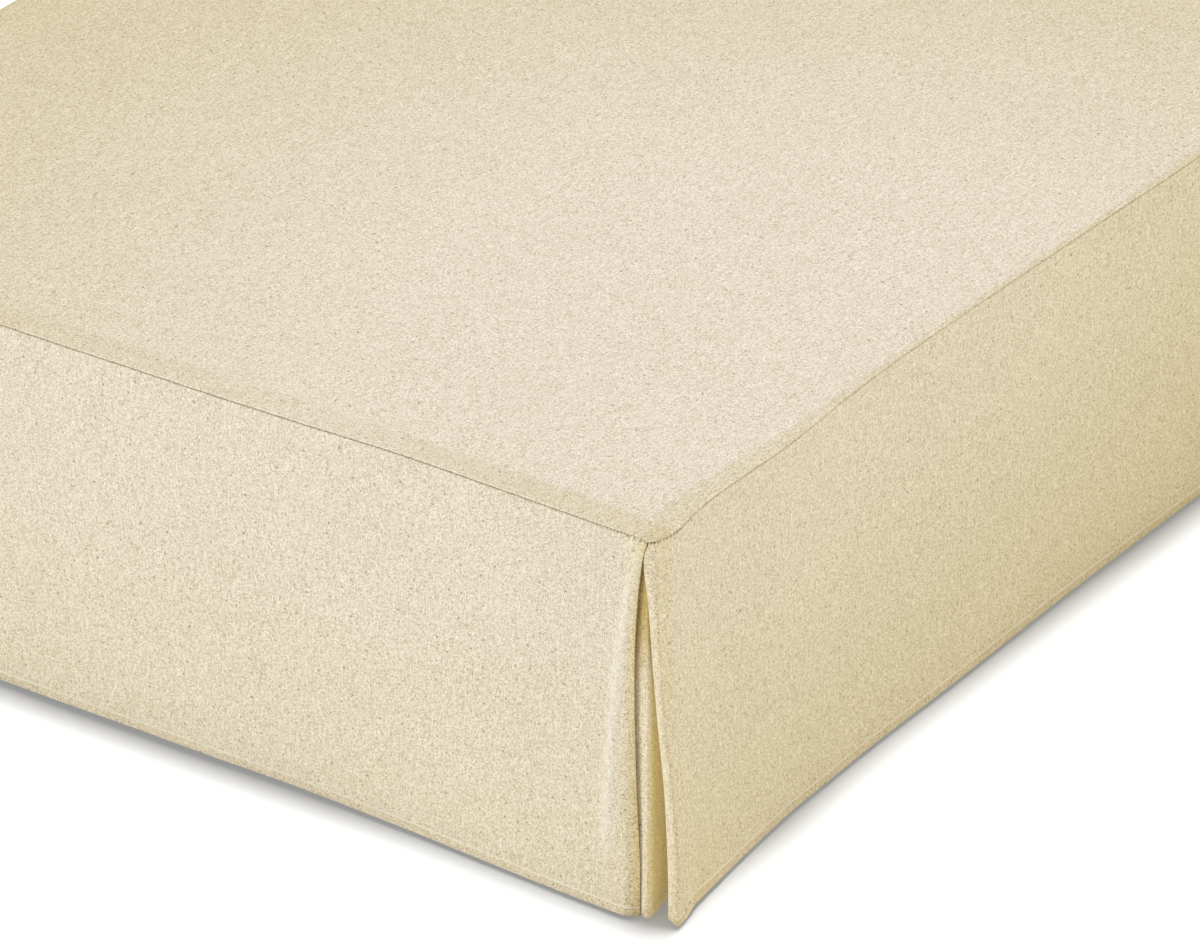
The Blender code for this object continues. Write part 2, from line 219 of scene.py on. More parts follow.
# Height of the topstitching above the hem's edge, and how far a drop's top edge sinks below the rolled rim
SIDE_STITCH_LINE = table(
    LineRow,
    (0.010, 0.0065), (0.018, 0.0080), (0.028, 0.0120), (0.045, 0.0105), (0.070, 0.0092), (1.900, 0.0090),
)
FOOT_STITCH_LINE = table(LineRow, (0.000, 0.0075), (0.040, 0.0080), (0.525, 0.0084))
SIDE_GROOVE = table(
    LineRow,
    (0.000, 0.00006), (0.040, 0.00000), (0.070, 0.00004), (0.100, 0.00000), (0.300, -0.00013),
    (0.520, -0.00013), (0.700, -0.00005), (1.900, -0.00005),
)
FOOT_GROOVE = table(
    LineRow,
    (0.000, 0.00006), (0.025, 0.00008), (0.050, 0.00014), (0.120, 0.00012), (0.525, 0.00010),
)
# How wide the seam allowance shows through the deck, from the side rim and from the foot rim
SIDE_ALLOWANCE = table(
    LineRow,
    (0.000, 0.011), (0.018, 0.013), (0.040, 0.021), (0.120, 0.020), (0.240, 0.012), (0.340, 0.007),
    (1.900, 0.007),
)
FOOT_ALLOWANCE = table(LineRow, (0.000, 0.024), (0.060, 0.029), (0.525, 0.030))


class Curve:
    """Smooth curve through one column of a table, level beyond its ends."""

    def __init__(self, rows: Sequence[tuple], column: str) -> None:
        """Read the column.

        Args:
            rows: Table whose first column is the place.
            column: Name of the column that the curve follows.
        """
        self.places = [row[0] for row in rows]
        self.values = [getattr(row, column) for row in rows]
        last = len(rows) - 1
        self.slopes = []
        for index in range(last + 1):
            low, high = max(index - 1, 0), min(index + 1, last)
            rise = self.values[high] - self.values[low]
            self.slopes.append(rise / (self.places[high] - self.places[low]))

    def at(self, place: float) -> float:
        """Value of the curve.

        Args:
            place: Where on the curve.

        Returns:
            The column's value there.
        """
        if place <= self.places[0]:
            return self.values[0]
        if place >= self.places[-1]:
            return self.values[-1]
        low = bisect_right(self.places, place) - 1
        width = self.places[low + 1] - self.places[low]
        t = (place - self.places[low]) / width
        start = self.values[low] * (1 + 2 * t) + self.slopes[low] * width * t
        end = self.values[low + 1] * (3 - 2 * t) + self.slopes[low + 1] * width * (t - 1)
        return start * (1 - t) ** 2 + end * t ** 2


def placed(name: str, data: bpy.types.ID) -> bpy.types.Object:
    """Make an object and link it to the scene.

    Args:
        name: Name of the object.
        data: Its mesh, light or camera.

    Returns:
        The object.
    """
    made = bpy.data.objects.new(name, data)
    bpy.context.scene.collection.objects.link(made)
    return made


def between(low: float, high: float, share: float) -> float:
    """Value at a share of the way from low to high."""
    return low + (high - low) * share


def eased(value: float, start: float, end: float) -> float:
    """Zero before start, one after end, and a soft step between them."""
    t = min(max((value - start) / (end - start), 0.0), 1.0)
    return t * t * (3.0 - 2.0 * t)


def bell(distance: float, width: float) -> float:
    """One at no distance, falling softly to nothing at about twice the width."""
    return math.exp(-((distance / width) ** 2))


def faded(distance: float, reach: float) -> float:
    """One at the rim, easing to nothing at the reach."""
    return max(0.0, 1.0 - distance / reach) ** 2


def steps_to(knots: Sequence[tuple[float, float]], start: float) -> list[float]:
    """Places from start that close up or open out by zones.

    Args:
        knots: Pairs of (where a zone ends, spacing in it), in order.
        start: First place.

    Returns:
        Places from start to the last zone's end, both included.
    """
    places = [start]
    for end, spacing in knots:
        count = max(1, round((end - places[-1]) / spacing))
        first = places[-1]
        places += [between(first, end, step / count) for step in range(1, count + 1)]
    return places


@dataclass(frozen=True)
class Ripple:
    """Soft, slow unevenness of hanging or lying cloth."""

    height: float
    across: float
    down: float
    seed: float

    FINER = 2.1                # a second layer of the ripple, this much finer and this much lower
    FINER_SHARE = 0.5

    def at(self, along: float, depth: float) -> float:
        """Height of the ripple at a place on the cloth."""
        place = Vector((along / self.across, depth / self.down, self.seed))
        return self.height * (noise.noise(place) + self.FINER_SHARE * noise.noise(place * self.FINER))


@dataclass(frozen=True)
class Crease:
    """Soft ridge or trough: its path is (depth, along) pairs from the top down."""

    path: tuple[tuple[float, float], ...]
    height: float
    width: float
    fade: float = 0.03
    # press lightens the crease as a painted highlight; tint darkens it as painted shade
    press: float = 0.0
    tint: float = 0.0

    def strength(self, along: float, depth: float) -> float:
        """How much of the crease is there, from 0 to 1.

        Args:
            along: Place along the drop.
            depth: Depth below the seam.

        Returns:
            One on the crease's line, nothing away from it and beyond its ends.
        """
        first, last = self.path[0], self.path[-1]
        ends = eased(depth, first[0] - self.fade, first[0])
        ends *= 1.0 - eased(depth, last[0], last[0] + self.fade)
        if ends == 0.0:
            return 0.0
        line = first[1] if depth <= first[0] else last[1]
        for upper, lower in zip(self.path, self.path[1:]):
            if upper[0] <= depth <= lower[0]:
                line = between(upper[1], lower[1], (depth - upper[0]) / (lower[0] - upper[0]))
        return ends * bell(along - line, self.width)


@dataclass
class ThreadPath:
    """Line that a thread follows, with the way that the cloth faces and how far each stitch spans."""

    points: list[Vector] = field(default_factory=list)
    outward: list[Vector] = field(default_factory=list)
    spans: list[float] = field(default_factory=list)

    def add(self, point: Vector, outward: Vector, span: float = 1.0) -> None:
        """Lengthen the line by one point.

        Args:
            point: The point.
            outward: Way that the cloth faces there.
            span: How far a stitch spans there.
        """
        self.points.append(point)
        self.outward.append(outward)
        self.spans.append(span)


@dataclass
class ClothGrid:
    """Rows of points of one sheet, with the places on the flat cloth and the marks that finishes read."""

    name: str
    runs: list[float] = field(default_factory=list)
    points: list[list[Vector]] = field(default_factory=list)
    flat: list[list[tuple[float, float]]] = field(default_factory=list)
    marks: dict[str, list[list[float]]] = field(default_factory=dict)
    outer: range = range(0)

    def add_row(self, points: list[Vector], flat: list[tuple[float, float]], marks: Marks) -> None:
        """Put one row below the others.

        Args:
            points: World points, anticlockwise seen from above.
            flat: Their places on the flat cloth, in metres.
            marks: Their values in the marks; the others are zero.
        """
        self.points.append(points)
        self.flat.append(flat)
        for mark in MARKS:
            self.marks.setdefault(mark, []).append(marks.get(mark, [0.0] * len(points)))

    def turned_round(self, side: float = 1.0) -> "ClothGrid":
        """The same sheet with its columns the other way round.

        Args:
            side: -1 to put it across the bed.

        Returns:
            The new sheet.
        """
        return ClothGrid(
            self.name,
            self.runs[::-1],
            [[Vector((side * p.x, p.y, p.z)) for p in reversed(row)] for row in self.points],
            [row[::-1] for row in self.flat],
            {mark: [row[::-1] for row in rows] for mark, rows in self.marks.items()},
            self.outer,
        )

    def joined(self, other: "ClothGrid") -> "ClothGrid":
        """One sheet from this one and another.

        Args:
            other: The sheet whose first column is this one's last.

        Returns:
            The new sheet.
        """
        return ClothGrid(
            self.name,
            self.runs[:-1] + other.runs,
            [mine[:-1] + theirs for mine, theirs in zip(self.points, other.points)],
            [mine[:-1] + theirs for mine, theirs in zip(self.flat, other.flat)],
            {
                mark: [mine[:-1] + theirs for mine, theirs in zip(rows, other.marks[mark])]
                for mark, rows in self.marks.items()
            },
            self.outer,
        )

    def line_above_hem(self, columns: Iterable[int], height_at: Places) -> "ThreadPath":
        """Line on the outer face at a height above the hem.

        Args:
            columns: Columns that it crosses, in order.
            height_at: From the run of a column to the line's height above the hem there.

        Returns:
            The line's points and the way the cloth faces at each.
        """
        path = ThreadPath()
        for column in columns:
            target = self.points[self.outer.stop - 1][column].z + height_at(self.runs[column])
            for row in self.outer[:-1]:
                upper, lower = self.points[row][column], self.points[row + 1][column]
                if lower.z <= target < upper.z:
                    share = (upper.z - target) / (upper.z - lower.z)
                    path.add(upper.lerp(lower, share), self.normal(row, column))
                    break
        return path

    def line_at_run(self, target: float, rows: Iterable[int]) -> "ThreadPath":
        """Line down the outer face at one run.

        Args:
            target: The run.
            rows: Rows that it crosses, in order.

        Returns:
            The line's points and the way the cloth faces at each.
        """
        pairs = zip(self.runs, self.runs[1:])
        column = next(c for c, pair in enumerate(pairs) if min(pair) <= target <= max(pair))
        share = (target - self.runs[column]) / (self.runs[column + 1] - self.runs[column])
        path = ThreadPath()
        for row in rows:
            point = self.points[row][column].lerp(self.points[row][column + 1], share)
            path.add(point, self.normal(row, column))
        return path

    def line_along(self, place: float) -> "ThreadPath":
        """Line along the row that lies nearest to a place on the flat cloth.

        Args:
            place: How far down the flat cloth it is.

        Returns:
            The line's points and the way the cloth faces at each.
        """
        row = min(self.outer, key=lambda index: abs(self.flat[index][0][1] - place))
        path = ThreadPath()
        for column, point in enumerate(self.points[row]):
            path.add(point, self.normal(row, column))
        return path

    def normal(self, row: int, column: int) -> Vector:
        """Direction that the outer face looks at one of its points.

        Args:
            row: Row of the point.
            column: Its column.

        Returns:
            The direction, of length one.
        """
        last_row, last_column = len(self.points) - 1, len(self.points[0]) - 1
        down = self.points[min(row + 1, last_row)][column] - self.points[max(row - 1, 0)][column]
        across = self.points[row][min(column + 1, last_column)] - self.points[row][max(column - 1, 0)]
        return down.cross(across).normalized()

    def build(self, material: bpy.types.Material) -> bpy.types.Object:
        """Make the sheet's object.

        Args:
            material: Finish of the cloth.

        Returns:
            The sheet, thickened inwards from its outer face.
        """
        width = len(self.points[0])
        corners = []
        for row in range(len(self.points) - 1):
            for column in range(width - 1):
                first = row * width + column
                corners.append((first, first + width, first + width + 1, first + 1))
        mesh = bpy.data.meshes.new(self.name)
        mesh.from_pydata([p for row in self.points for p in row], [], corners)
        places = [place for row in self.flat for place in row]
        layer = mesh.uv_layers.new(name="cloth")
        layer.data.foreach_set("uv", [value for loop in mesh.loops for value in places[loop.vertex_index]])
        for mark, rows in self.marks.items():
            attribute = mesh.attributes.new(mark, "FLOAT", "POINT")
            attribute.data.foreach_set("value", [value for row in rows for value in row])
        mesh.shade_smooth()
        mesh.materials.append(material)
        mesh.validate()
        sheet = placed(self.name, mesh)
        solidify = sheet.modifiers.new("cloth thickness", "SOLIDIFY")
        solidify.thickness = CLOTH
        solidify.offset = -1.0
        solidify.use_even_offset = False
        return sheet


@dataclass(frozen=True)
class Tuck:
    """Where a return ends up behind its leaf: places at the seam and at the hem."""

    mid_seam: float
    mid_hem: float
    end_seam: float
    end_hem: float


@dataclass(frozen=True)
class DropPlan:
    """One drop's own lines, and how it hangs between them."""

    seam: Sequence[SeamRow]
    hem: Sequence[HemRow]
    leaf: Sequence[LeafRow]
    swing: Sequence[EaseRow]
    stitch_line: Sequence[LineRow]
    groove: Sequence[LineRow]
    first_station: float
    last_station: float
    bend_rise: float
    fold_rise: float
    tuck: Tuck
    # Painted highlight along the fold; painted shade on the leaf's roll and on the facet beside the fold
    fold_press: float
    roll_reach: float
    facet_tint: float
    creases: tuple[Crease, ...]
    ripple: Ripple


SIDE_PLAN = DropPlan(
    seam=SIDE_SEAM,
    hem=SIDE_HEM,
    leaf=SIDE_LEAF,
    swing=SLOW_SWING,
    stitch_line=SIDE_STITCH_LINE,
    groove=SIDE_GROOVE,
    first_station=0.0100,
    last_station=BED_LENGTH,
    bend_rise=-0.0020,
    fold_rise=0.0015,
    tuck=Tuck(mid_seam=0.0024, mid_hem=0.0030, end_seam=0.0008, end_hem=0.0002),
    fold_press=1.0,
    roll_reach=0.0006,
    facet_tint=0.30,
    # The creases' tints are painted shade in their troughs
    creases=(
        Crease(
            ((0.008, 0.0100), (0.050, 0.0078), (0.095, 0.0070), (0.130, 0.0090)),
            height=-0.0010,
            width=0.0068,
            fade=0.04,
            tint=0.34,
        ),
        Crease(((0.318, 0.052), (0.350, 0.046)), height=-0.0008, width=0.024, fade=0.05, tint=0.24),
    ),
    ripple=Ripple(height=0.0005, across=0.16, down=0.30, seed=3.7),
)
FOOT_PLAN = DropPlan(
    seam=FOOT_SEAM,
    hem=FOOT_HEM,
    leaf=FOOT_LEAF,
    swing=EVEN_SWING,
    stitch_line=FOOT_STITCH_LINE,
    groove=FOOT_GROOVE,
    first_station=0.0240,
    last_station=HALF_WIDTH,
    bend_rise=0.0000,
    fold_rise=0.0000,
    tuck=Tuck(mid_seam=-0.0010, mid_hem=0.0018, end_seam=-0.0014, end_hem=-0.0006),
    fold_press=0.0,
    roll_reach=0.0050,
    facet_tint=0.0,
    # The crease's press is a painted highlight along its ridge
    creases=(
        Crease(
            (
                (0.017, 0.012), (0.063, 0.0190), (0.093, 0.0240), (0.122, 0.0275), (0.165, 0.0320),
                (0.273, 0.0375),
            ),
            height=0.0019,
            width=0.0058,
            fade=0.03,
            press=0.8,
        ),
    ),
    ripple=Ripple(height=0.0005, across=0.14, down=0.30, seed=8.2),
)


MOST_CUT = 0.45            # share of a line's piece that a rounding may take up


def rounded(points: list[Vector], cuts: Sequence[float], steps: Sequence[int]) -> list[Vector]:
    """Turn the corners of a line into soft bends.

    Args:
        points: Corner points of the line.
        cuts: How far each corner's rounding reaches; none where it is zero.
        steps: Points on each rounding.

    Returns:
        The line with its bends.
    """
    result = []
    for index, point in enumerate(points):
        cut = cuts[index]
        if not cut:
            result.append(point)
            continue
        before = points[index - 1] - point
        after = points[index + 1] - point
        start = point + before * min(cut / before.length, MOST_CUT)
        end = point + after * min(cut / after.length, MOST_CUT)
        for step in range(steps[index]):
            t = step / (steps[index] - 1)
            result.append(start * (1 - t) ** 2 + point * 2 * t * (1 - t) + end * t ** 2)
    return result


SIDE_OUT = Curve(SIDE_SEAM, "out")
SIDE_DIP = Curve(SIDE_SEAM, "dip")
FOOT_OUT = Curve(FOOT_SEAM, "out")


def deck_top(x: float, y: float) -> float:
    """Height of the deck panel's upper face at a plan place, before its rim is turned."""
    rim_distance = SIDE_OUT.at(y) - x
    return SEAM_HEIGHT - SIDE_DIP.at(y) * faded(max(rim_distance, 0.0), DIP_REACH)


class Drop:
    """Hanging drop with a leaf and a return at a pleat, worked out in its own corner's places."""

    CORNER_STEPS = (1, 5, 6, 7, 7, 9)  # points at the return's end, middle and turn, the fold and the bend
    FOLD_COLUMN = 22           # middle of the fold's rounding, of the bend's, and the bend's end
    BEND_COLUMN = 30
    BEND_END = 38
    FACET_START = 23           # where small forms begin on the facet between them, and are full
    FACET_END = 29
    FOLD_LIGHT = 23.5          # middle of the painted highlight along the fold, and its width in columns
    LIGHT_WIDTH = 2.2
    TOP_PRESS = 0.15           # how strong that painted highlight is near the seam, and depths between which it comes in
    PRESS_DEPTH = (0.080, 0.200)
    DOTS_REACH = 0.036         # how far from the corner the needle holes of the seam show
    RELAX_PASSES = 8
    RELAX_REACH = 0.070
    TOP_ROUNDING = 0.0004
    ALLOWANCE_ROWS = ((0.0013, -0.0002), (0.0005, 0.0000))  # (inward, up) of what turns in at the seam
    NEAR_ZONES = ((0.060, 0.0026), (0.300, 0.0055))  # (where each ends, spacing of its columns)
    FAR_SPACING = 0.0125
    END_ZONE = (0.016, 0.0020)                       # (how long it is, spacing of its columns)
    TOP_DEPTHS = [0.0, 0.0005, 0.0012, 0.0022, 0.0036, 0.0056, 0.0085]
    MIDDLE_START = 0.0130
    MIDDLE_SPACING = 0.0060
    HEM_START = 0.0170
    HEM_ZONES = ((0.0150, 0.0010), (0.0065, 0.0005), (0.0010, 0.0011))
    LAST_HEIGHTS = [0.0004, 0.0]
    RIPPLE_RUN = (0.03, 0.10)  # where the ripple begins and is full, from the pleat, the seam and the hem
    RIPPLE_TOP = (0.0, 0.06)
    RIPPLE_HEM = (0.0, 0.08)
    RIPPLE_LOW = 0.4           # what is left of it at the hem
    STITCH_DENT = 0.00032      # how deep the topstitching pulls the cloth in
    STITCH_WIDTH = 0.0009
    BAND_RISE = 0.00020        # how far the hem band stands out
    BAND_SLOPE = (-0.0012, 0.0)
    PUCKER = 0.00022           # small waves of the hem band: height, lengths, seed, middle and reach
    PUCKER_SIZE = (0.013, 0.02, 5.1)
    PUCKER_HEIGHT = 0.006
    PUCKER_REACH = 0.009
    LOOSE_RUN = 0.019          # where the tip of a plain-ended drop shows its empty needle holes
    LOOSE_REACH = 0.009
    FULL_HEM = (0.004, 0.022)  # runs between which the turned hem reaches its full thickness
    THIN_HEM = (0.15, 0.2)     # shares of its height and depth that are left round the fold
    # (inward, up) of the turned hem, in halves of its thickness
    HEM_ROWS = ((0.35, -0.30), (1.0, -0.42), (1.65, -0.30), (2.0, 0.3), (2.0, 4.0), (2.0, 8.0))

    has_plain_end = False

    def __init__(self, plan: DropPlan) -> None:
        """Take the plan.

        Args:
            plan: The drop's lines.
        """
        self.plan = plan
        self.seam_out = Curve(plan.seam, "out")
        self.hem_out = Curve(plan.hem, "out")
        self.hem_rise = Curve(plan.hem, "rise")
        self.swing = Curve(plan.swing, "swing")
        self.stitch_height = Curve(plan.stitch_line, "value")
        self.groove = Curve(plan.groove, "value")
        self.leaf = {name: Curve(plan.leaf, name) for name in LeafRow._fields[1:]}
        end_length, end_spacing = self.END_ZONE
        far_zones = ((plan.last_station - end_length, self.FAR_SPACING), (plan.last_station, end_spacing))
        self.stations = steps_to(self.NEAR_ZONES + far_zones, plan.first_station)
        self.corner_count = sum(self.CORNER_STEPS)
        self.runs = self.column_runs()

    def section(self, share: float) -> list[Vector]:
        """Plan section at one share of the depth.

        Args:
            share: From 0 at the seam to 1 at the hem.

        Returns:
            Points of (along, out, rise), from the end of the return to the last station.
        """
        plan = self.plan
        swing = self.swing.at(share)
        value = {name: curve.at(share) for name, curve in self.leaf.items()}
        tuck = plan.tuck
        bend = Vector((value["bend_along"], value["bend_out"], plan.bend_rise))
        fold = Vector((value["fold_along"], value["fold_out"], plan.fold_rise))
        turn = Vector((value["turn_along"], value["turn_out"], plan.fold_rise))
        tuck_mid = Vector((TUCK_MID, between(tuck.mid_seam, tuck.mid_hem, swing), plan.fold_rise))
        tuck_end = Vector((TUCK_END, between(tuck.end_seam, tuck.end_hem, swing), plan.fold_rise))

        # The fold is a tight U-turn at the seam and opens towards the hem
        facet = fold - bend
        inward = Vector((-facet.y, facet.x, 0.0)).normalized()
        if inward.dot(tuck_mid - fold) < 0.0:
            inward.negate()
        onward = turn - fold
        onward.z = 0.0
        inner_fold = fold + inward.lerp(onward.normalized(), swing).normalized() * FOLD_WIDTH
        inner_fold.z = plan.fold_rise

        leaf = []
        for along in self.stations:
            seam_out = self.seam_out.at(along)
            hem_out = self.hem_out.at(along)
            out = between(seam_out, hem_out, swing)
            leaf.append(Vector((along, out, self.hem_rise.at(along))))
        corner = [tuck_end, tuck_mid, turn, inner_fold, fold, bend]
        cuts = [0.0, TURN_CUT, TURN_CUT, FOLD_CUT, FOLD_CUT, BEND_CUT]
        steps = self.CORNER_STEPS + (1,) * len(leaf)
        line = rounded(corner + leaf, cuts + [0.0] * len(leaf), steps)
        return self.relaxed(line)

    def relaxed(self, line: list[Vector]) -> list[Vector]:
        """Ease the leaf out of its bend, as canvas does, without moving the seam and hem further on.

        Args:
            line: Plan section, changed in place.

        Returns:
            The same section.
        """
        first = self.corner_count - 2
        last = self.corner_count + sum(1 for along in self.stations if along < self.RELAX_REACH)
        for _ in range(self.RELAX_PASSES):
            outs = [point.y for point in line]
            for index in range(first, last):
                line[index].y = (outs[index - 1] + 2.0 * outs[index] + outs[index + 1]) / 4.0
        return line

    def column_runs(self) -> list[float]:
        """Place of each column along the flat cloth, back from the leaf's stations round the fold.

        Returns:
            The places, in the columns' order.
        """
        line = self.section(0.5)
        runs = [point.x for point in line]
        for index in range(self.corner_count - 1, -1, -1):
            step = (line[index] - line[index + 1]).to_2d().length
            runs[index] = runs[index + 1] - step
        return runs

    def depths(self) -> list[float]:
        """Where the sheet has its rows, close together at the seam and at the hem.

        Returns:
            Shares of the depth, from the seam down.
        """
        middle = steps_to(((DROP_LENGTH - self.HEM_START, self.MIDDLE_SPACING),), self.MIDDLE_START)
        lower = steps_to(self.HEM_ZONES, self.HEM_START)[1:] + self.LAST_HEIGHTS
        upper_shares = [depth / DROP_LENGTH for depth in self.TOP_DEPTHS + middle]
        return upper_shares + [1.0 - height / DROP_LENGTH for height in lower]

    def relief(self, cloth: float, run: float, depth: float, height: float) -> tuple[float, float, float]:
        """Small forms on the leaf.

        Args:
            cloth: Place along the uncut cloth.
            run: Place along the drop, from the pleat.
            depth: Depth below the seam.
            height: Height above the hem.

        Returns:
            How far the cloth stands out, how strong its painted highlight is, and how strong its painted
            shade is, each from 0 to 1.
        """
        away = eased(run, *self.RIPPLE_RUN)
        level = eased(depth, *self.RIPPLE_TOP)
        level *= between(self.RIPPLE_LOW, 1.0, eased(height, *self.RIPPLE_HEM))
        out = self.plan.ripple.at(cloth, depth) * away * level
        press, tint = 0.0, 0.0
        for crease in self.plan.creases:
            strength = crease.strength(run, depth)
            out += crease.height * strength
            press = max(press, crease.press * strength)
            tint = max(tint, crease.tint * strength)
        across = height - self.stitch_height.at(max(run, 0.0))
        out -= self.STITCH_DENT * bell(across, self.STITCH_WIDTH)
        out += self.BAND_RISE * (1.0 - eased(across, *self.BAND_SLOPE))
        wave_along, wave_down, seed = self.PUCKER_SIZE
        waves = self.PUCKER * noise.noise(Vector((cloth / wave_along, height / wave_down, seed)))
        out += waves * bell(height - self.PUCKER_HEIGHT, self.PUCKER_REACH)
        return out, press, tint

    def grid(self, name: str, cloth_place: Places) -> ClothGrid:
        """Loft the drop at the right foot corner.

        Args:
            name: Name of the sheet.
            cloth_place: From the run from the pleat to the place along the uncut cloth.

        Returns:
            The sheet's grid, from the end of the return to the last station.
        """
        shares = self.depths()
        sections = [self.section(share) for share in shares]
        sheet = ClothGrid(name, runs=list(self.runs))
        rim = [self.place(point.x, point.y) for point in sections[0]]
        tops = [
            deck_top(x, y) - ROLL - self.groove.at(max(point.x, 0.0)) - DIP_ROOM * SIDE_DIP.at(y)
            for (x, y), point in zip(rim, sections[0])
        ]
        for inward, lift in self.ALLOWANCE_ROWS:
            points = [self.world(sections[0], index, -inward, top + lift) for index, top in enumerate(tops)]
            heights = [DROP_LENGTH] * len(tops)
            self.add_row(sheet, points, [0.0] * len(tops), heights, cloth_place, inside=True)
        for share, section in zip(shares, sections):
            points, depths, heights = [], [], []
            for index, point in enumerate(section):
                z = between(tops[index], HEM_CLEARANCE + point.z, share)
                depths.append(tops[index] - z)
                heights.append(z - HEM_CLEARANCE - point.z)
                run = self.runs[index]
                out = self.relief(cloth_place(run), run, depths[-1], heights[-1])[0]
                out *= eased(index, self.FACET_START, self.FACET_END)
                out -= self.TOP_ROUNDING * bell(depths[-1], self.TOP_ROUNDING)
                points.append(self.world(section, index, out, z))
            self.add_row(sheet, points, depths, heights, cloth_place, inside=False)
        first = len(self.ALLOWANCE_ROWS)
        sheet.outer = range(first, first + len(shares))
        self.turn_hem(sheet, sections[-1], cloth_place)
        return sheet

    def world(self, section: list[Vector], index: int, out: float, z: float) -> Vector:
        """World point of a section's point, moved out along the section's own normal.

        Args:
            section: Plan section of the drop.
            index: Which of its points.
            out: How far it moves out.
            z: Its height.

        Returns:
            The point at the right foot corner.
        """
        before = section[max(index - 1, 0)]
        after = section[min(index + 1, len(section) - 1)]
        direction = (after - before).to_2d()
        normal = Vector((-direction.y, direction.x)).normalized()
        moved = section[index].to_2d() + normal * out
        x, y = self.place(moved.x, moved.y)
        return Vector((HALF_WIDTH + x, FOOT_LINE + y, z))

    def add_row(
        self,
        sheet: ClothGrid,
        points: list[Vector],
        depths: list[float],
        heights: list[float],
        cloth_place: Places,
        inside: bool,
    ) -> None:
        """Add one row with its marks.

        Args:
            sheet: The grid that the row goes to.
            points: World points.
            depths: Depths below the seam, along the cloth.
            heights: Heights above the hem.
            cloth_place: From the run to the place along the uncut cloth.
            inside: True for what is turned in, which has no stitching on its face.
        """
        marks: Marks = defaultdict(list)
        for index, (depth, height) in enumerate(zip(depths, heights)):
            run = self.runs[index]
            gap = self.plan.last_station - run if self.has_plain_end else FAR
            line = min(height - self.stitch_height.at(max(run, 0.0)), gap - HEM_BAND, key=abs)
            # Painted highlight from creases and along the fold; painted shade from creases, on the facet
            # and on the leaf's roll
            _, highlight_share, golden = self.relief(cloth_place(run), run, depth, height)
            fold = self.plan.fold_press * bell(index - self.FOLD_LIGHT, self.LIGHT_WIDTH)
            fold *= between(self.TOP_PRESS, 1.0, eased(depth, *self.PRESS_DEPTH))
            past_fold = max(run - self.runs[self.FOLD_COLUMN], 0.0)
            facet = eased(index, self.FOLD_COLUMN, self.FACET_START)
            facet *= 1.0 - eased(index, self.BEND_COLUMN, self.BEND_END)
            roll_shade = math.exp(-past_fold / self.plan.roll_reach)
            marks["hem"].append(min(height, gap))
            marks["stitch"].append(FAR if inside else line)
            marks["seam"].append(FAR if inside else depth)
            marks["press"].append(max(fold, highlight_share))
            marks["inner"].append(max(golden, facet * self.plan.facet_tint, roll_shade))
            loose = bell(run - self.LOOSE_RUN, self.LOOSE_REACH) if self.has_plain_end else 0.0
            marks["holes"].append(bell(run, self.DOTS_REACH) if depth < height else loose)
        flat = [(cloth_place(run), depth) for run, depth in zip(self.runs, depths)]
        sheet.add_row(points, flat, marks)

    def turn_hem(self, sheet: ClothGrid, section: list[Vector], cloth_place: Places) -> None:
        """Turn the hem up inside the leaf; it thins out to nothing round the fold.

        Args:
            sheet: The grid that the hem goes to.
            section: Plan section at the hem.
            cloth_place: From the run to the place along the uncut cloth.
        """
        for inward, up in self.HEM_ROWS:
            points = []
            for index, point in enumerate(section):
                full = eased(self.runs[index], *self.FULL_HEM)
                lift = between(self.THIN_HEM[0] * max(up, 0.0), up, full) * HEM_TURN
                inset = -inward * between(self.THIN_HEM[1], 1.0, full) * HEM_TURN
                points.append(self.world(section, index, inset, HEM_CLEARANCE + point.z + lift))
            height = max(up, 0.0) * HEM_TURN
            depths = [DROP_LENGTH + inward * HEM_TURN + height] * len(section)
            self.add_row(sheet, points, depths, [height] * len(section), cloth_place, inside=True)


class SideDrop(Drop):
    """Drop along one side: its head end is plain, with a narrow hem."""

    has_plain_end = True

    def place(self, along: float, out: float) -> tuple[float, float]:
        """Plan place (x, y) at the right foot corner."""
        return out, along

    def right(self) -> ClothGrid:
        """The drop on the right."""
        return self.grid("right_drop_canvas", lambda run: run)

    def left(self) -> ClothGrid:
        """The drop on the left, cut from another length of the cloth."""
        return self.grid("left_drop_canvas", lambda run: run + CLOTH_START["left"]).turned_round(-1.0)


class FootDrop(Drop):
    """Drop across the foot, with a pleat at either end."""

    def place(self, along: float, out: float) -> tuple[float, float]:
        """Plan place (x, y) at the right foot corner."""
        return -along, -out

    def whole(self) -> ClothGrid:
        """Both halves as one sheet.

        Returns:
            The sheet's grid, from the left pleat to the right one.
        """
        right_half = self.grid("foot_drop_canvas", lambda run: FOOT_END - run)
        left_half = self.grid("foot_drop_canvas", lambda run: FOOT_END - BED_WIDTH + run)
        across = left_half.turned_round().turned_round(-1.0)
        return across.joined(right_half.turned_round())


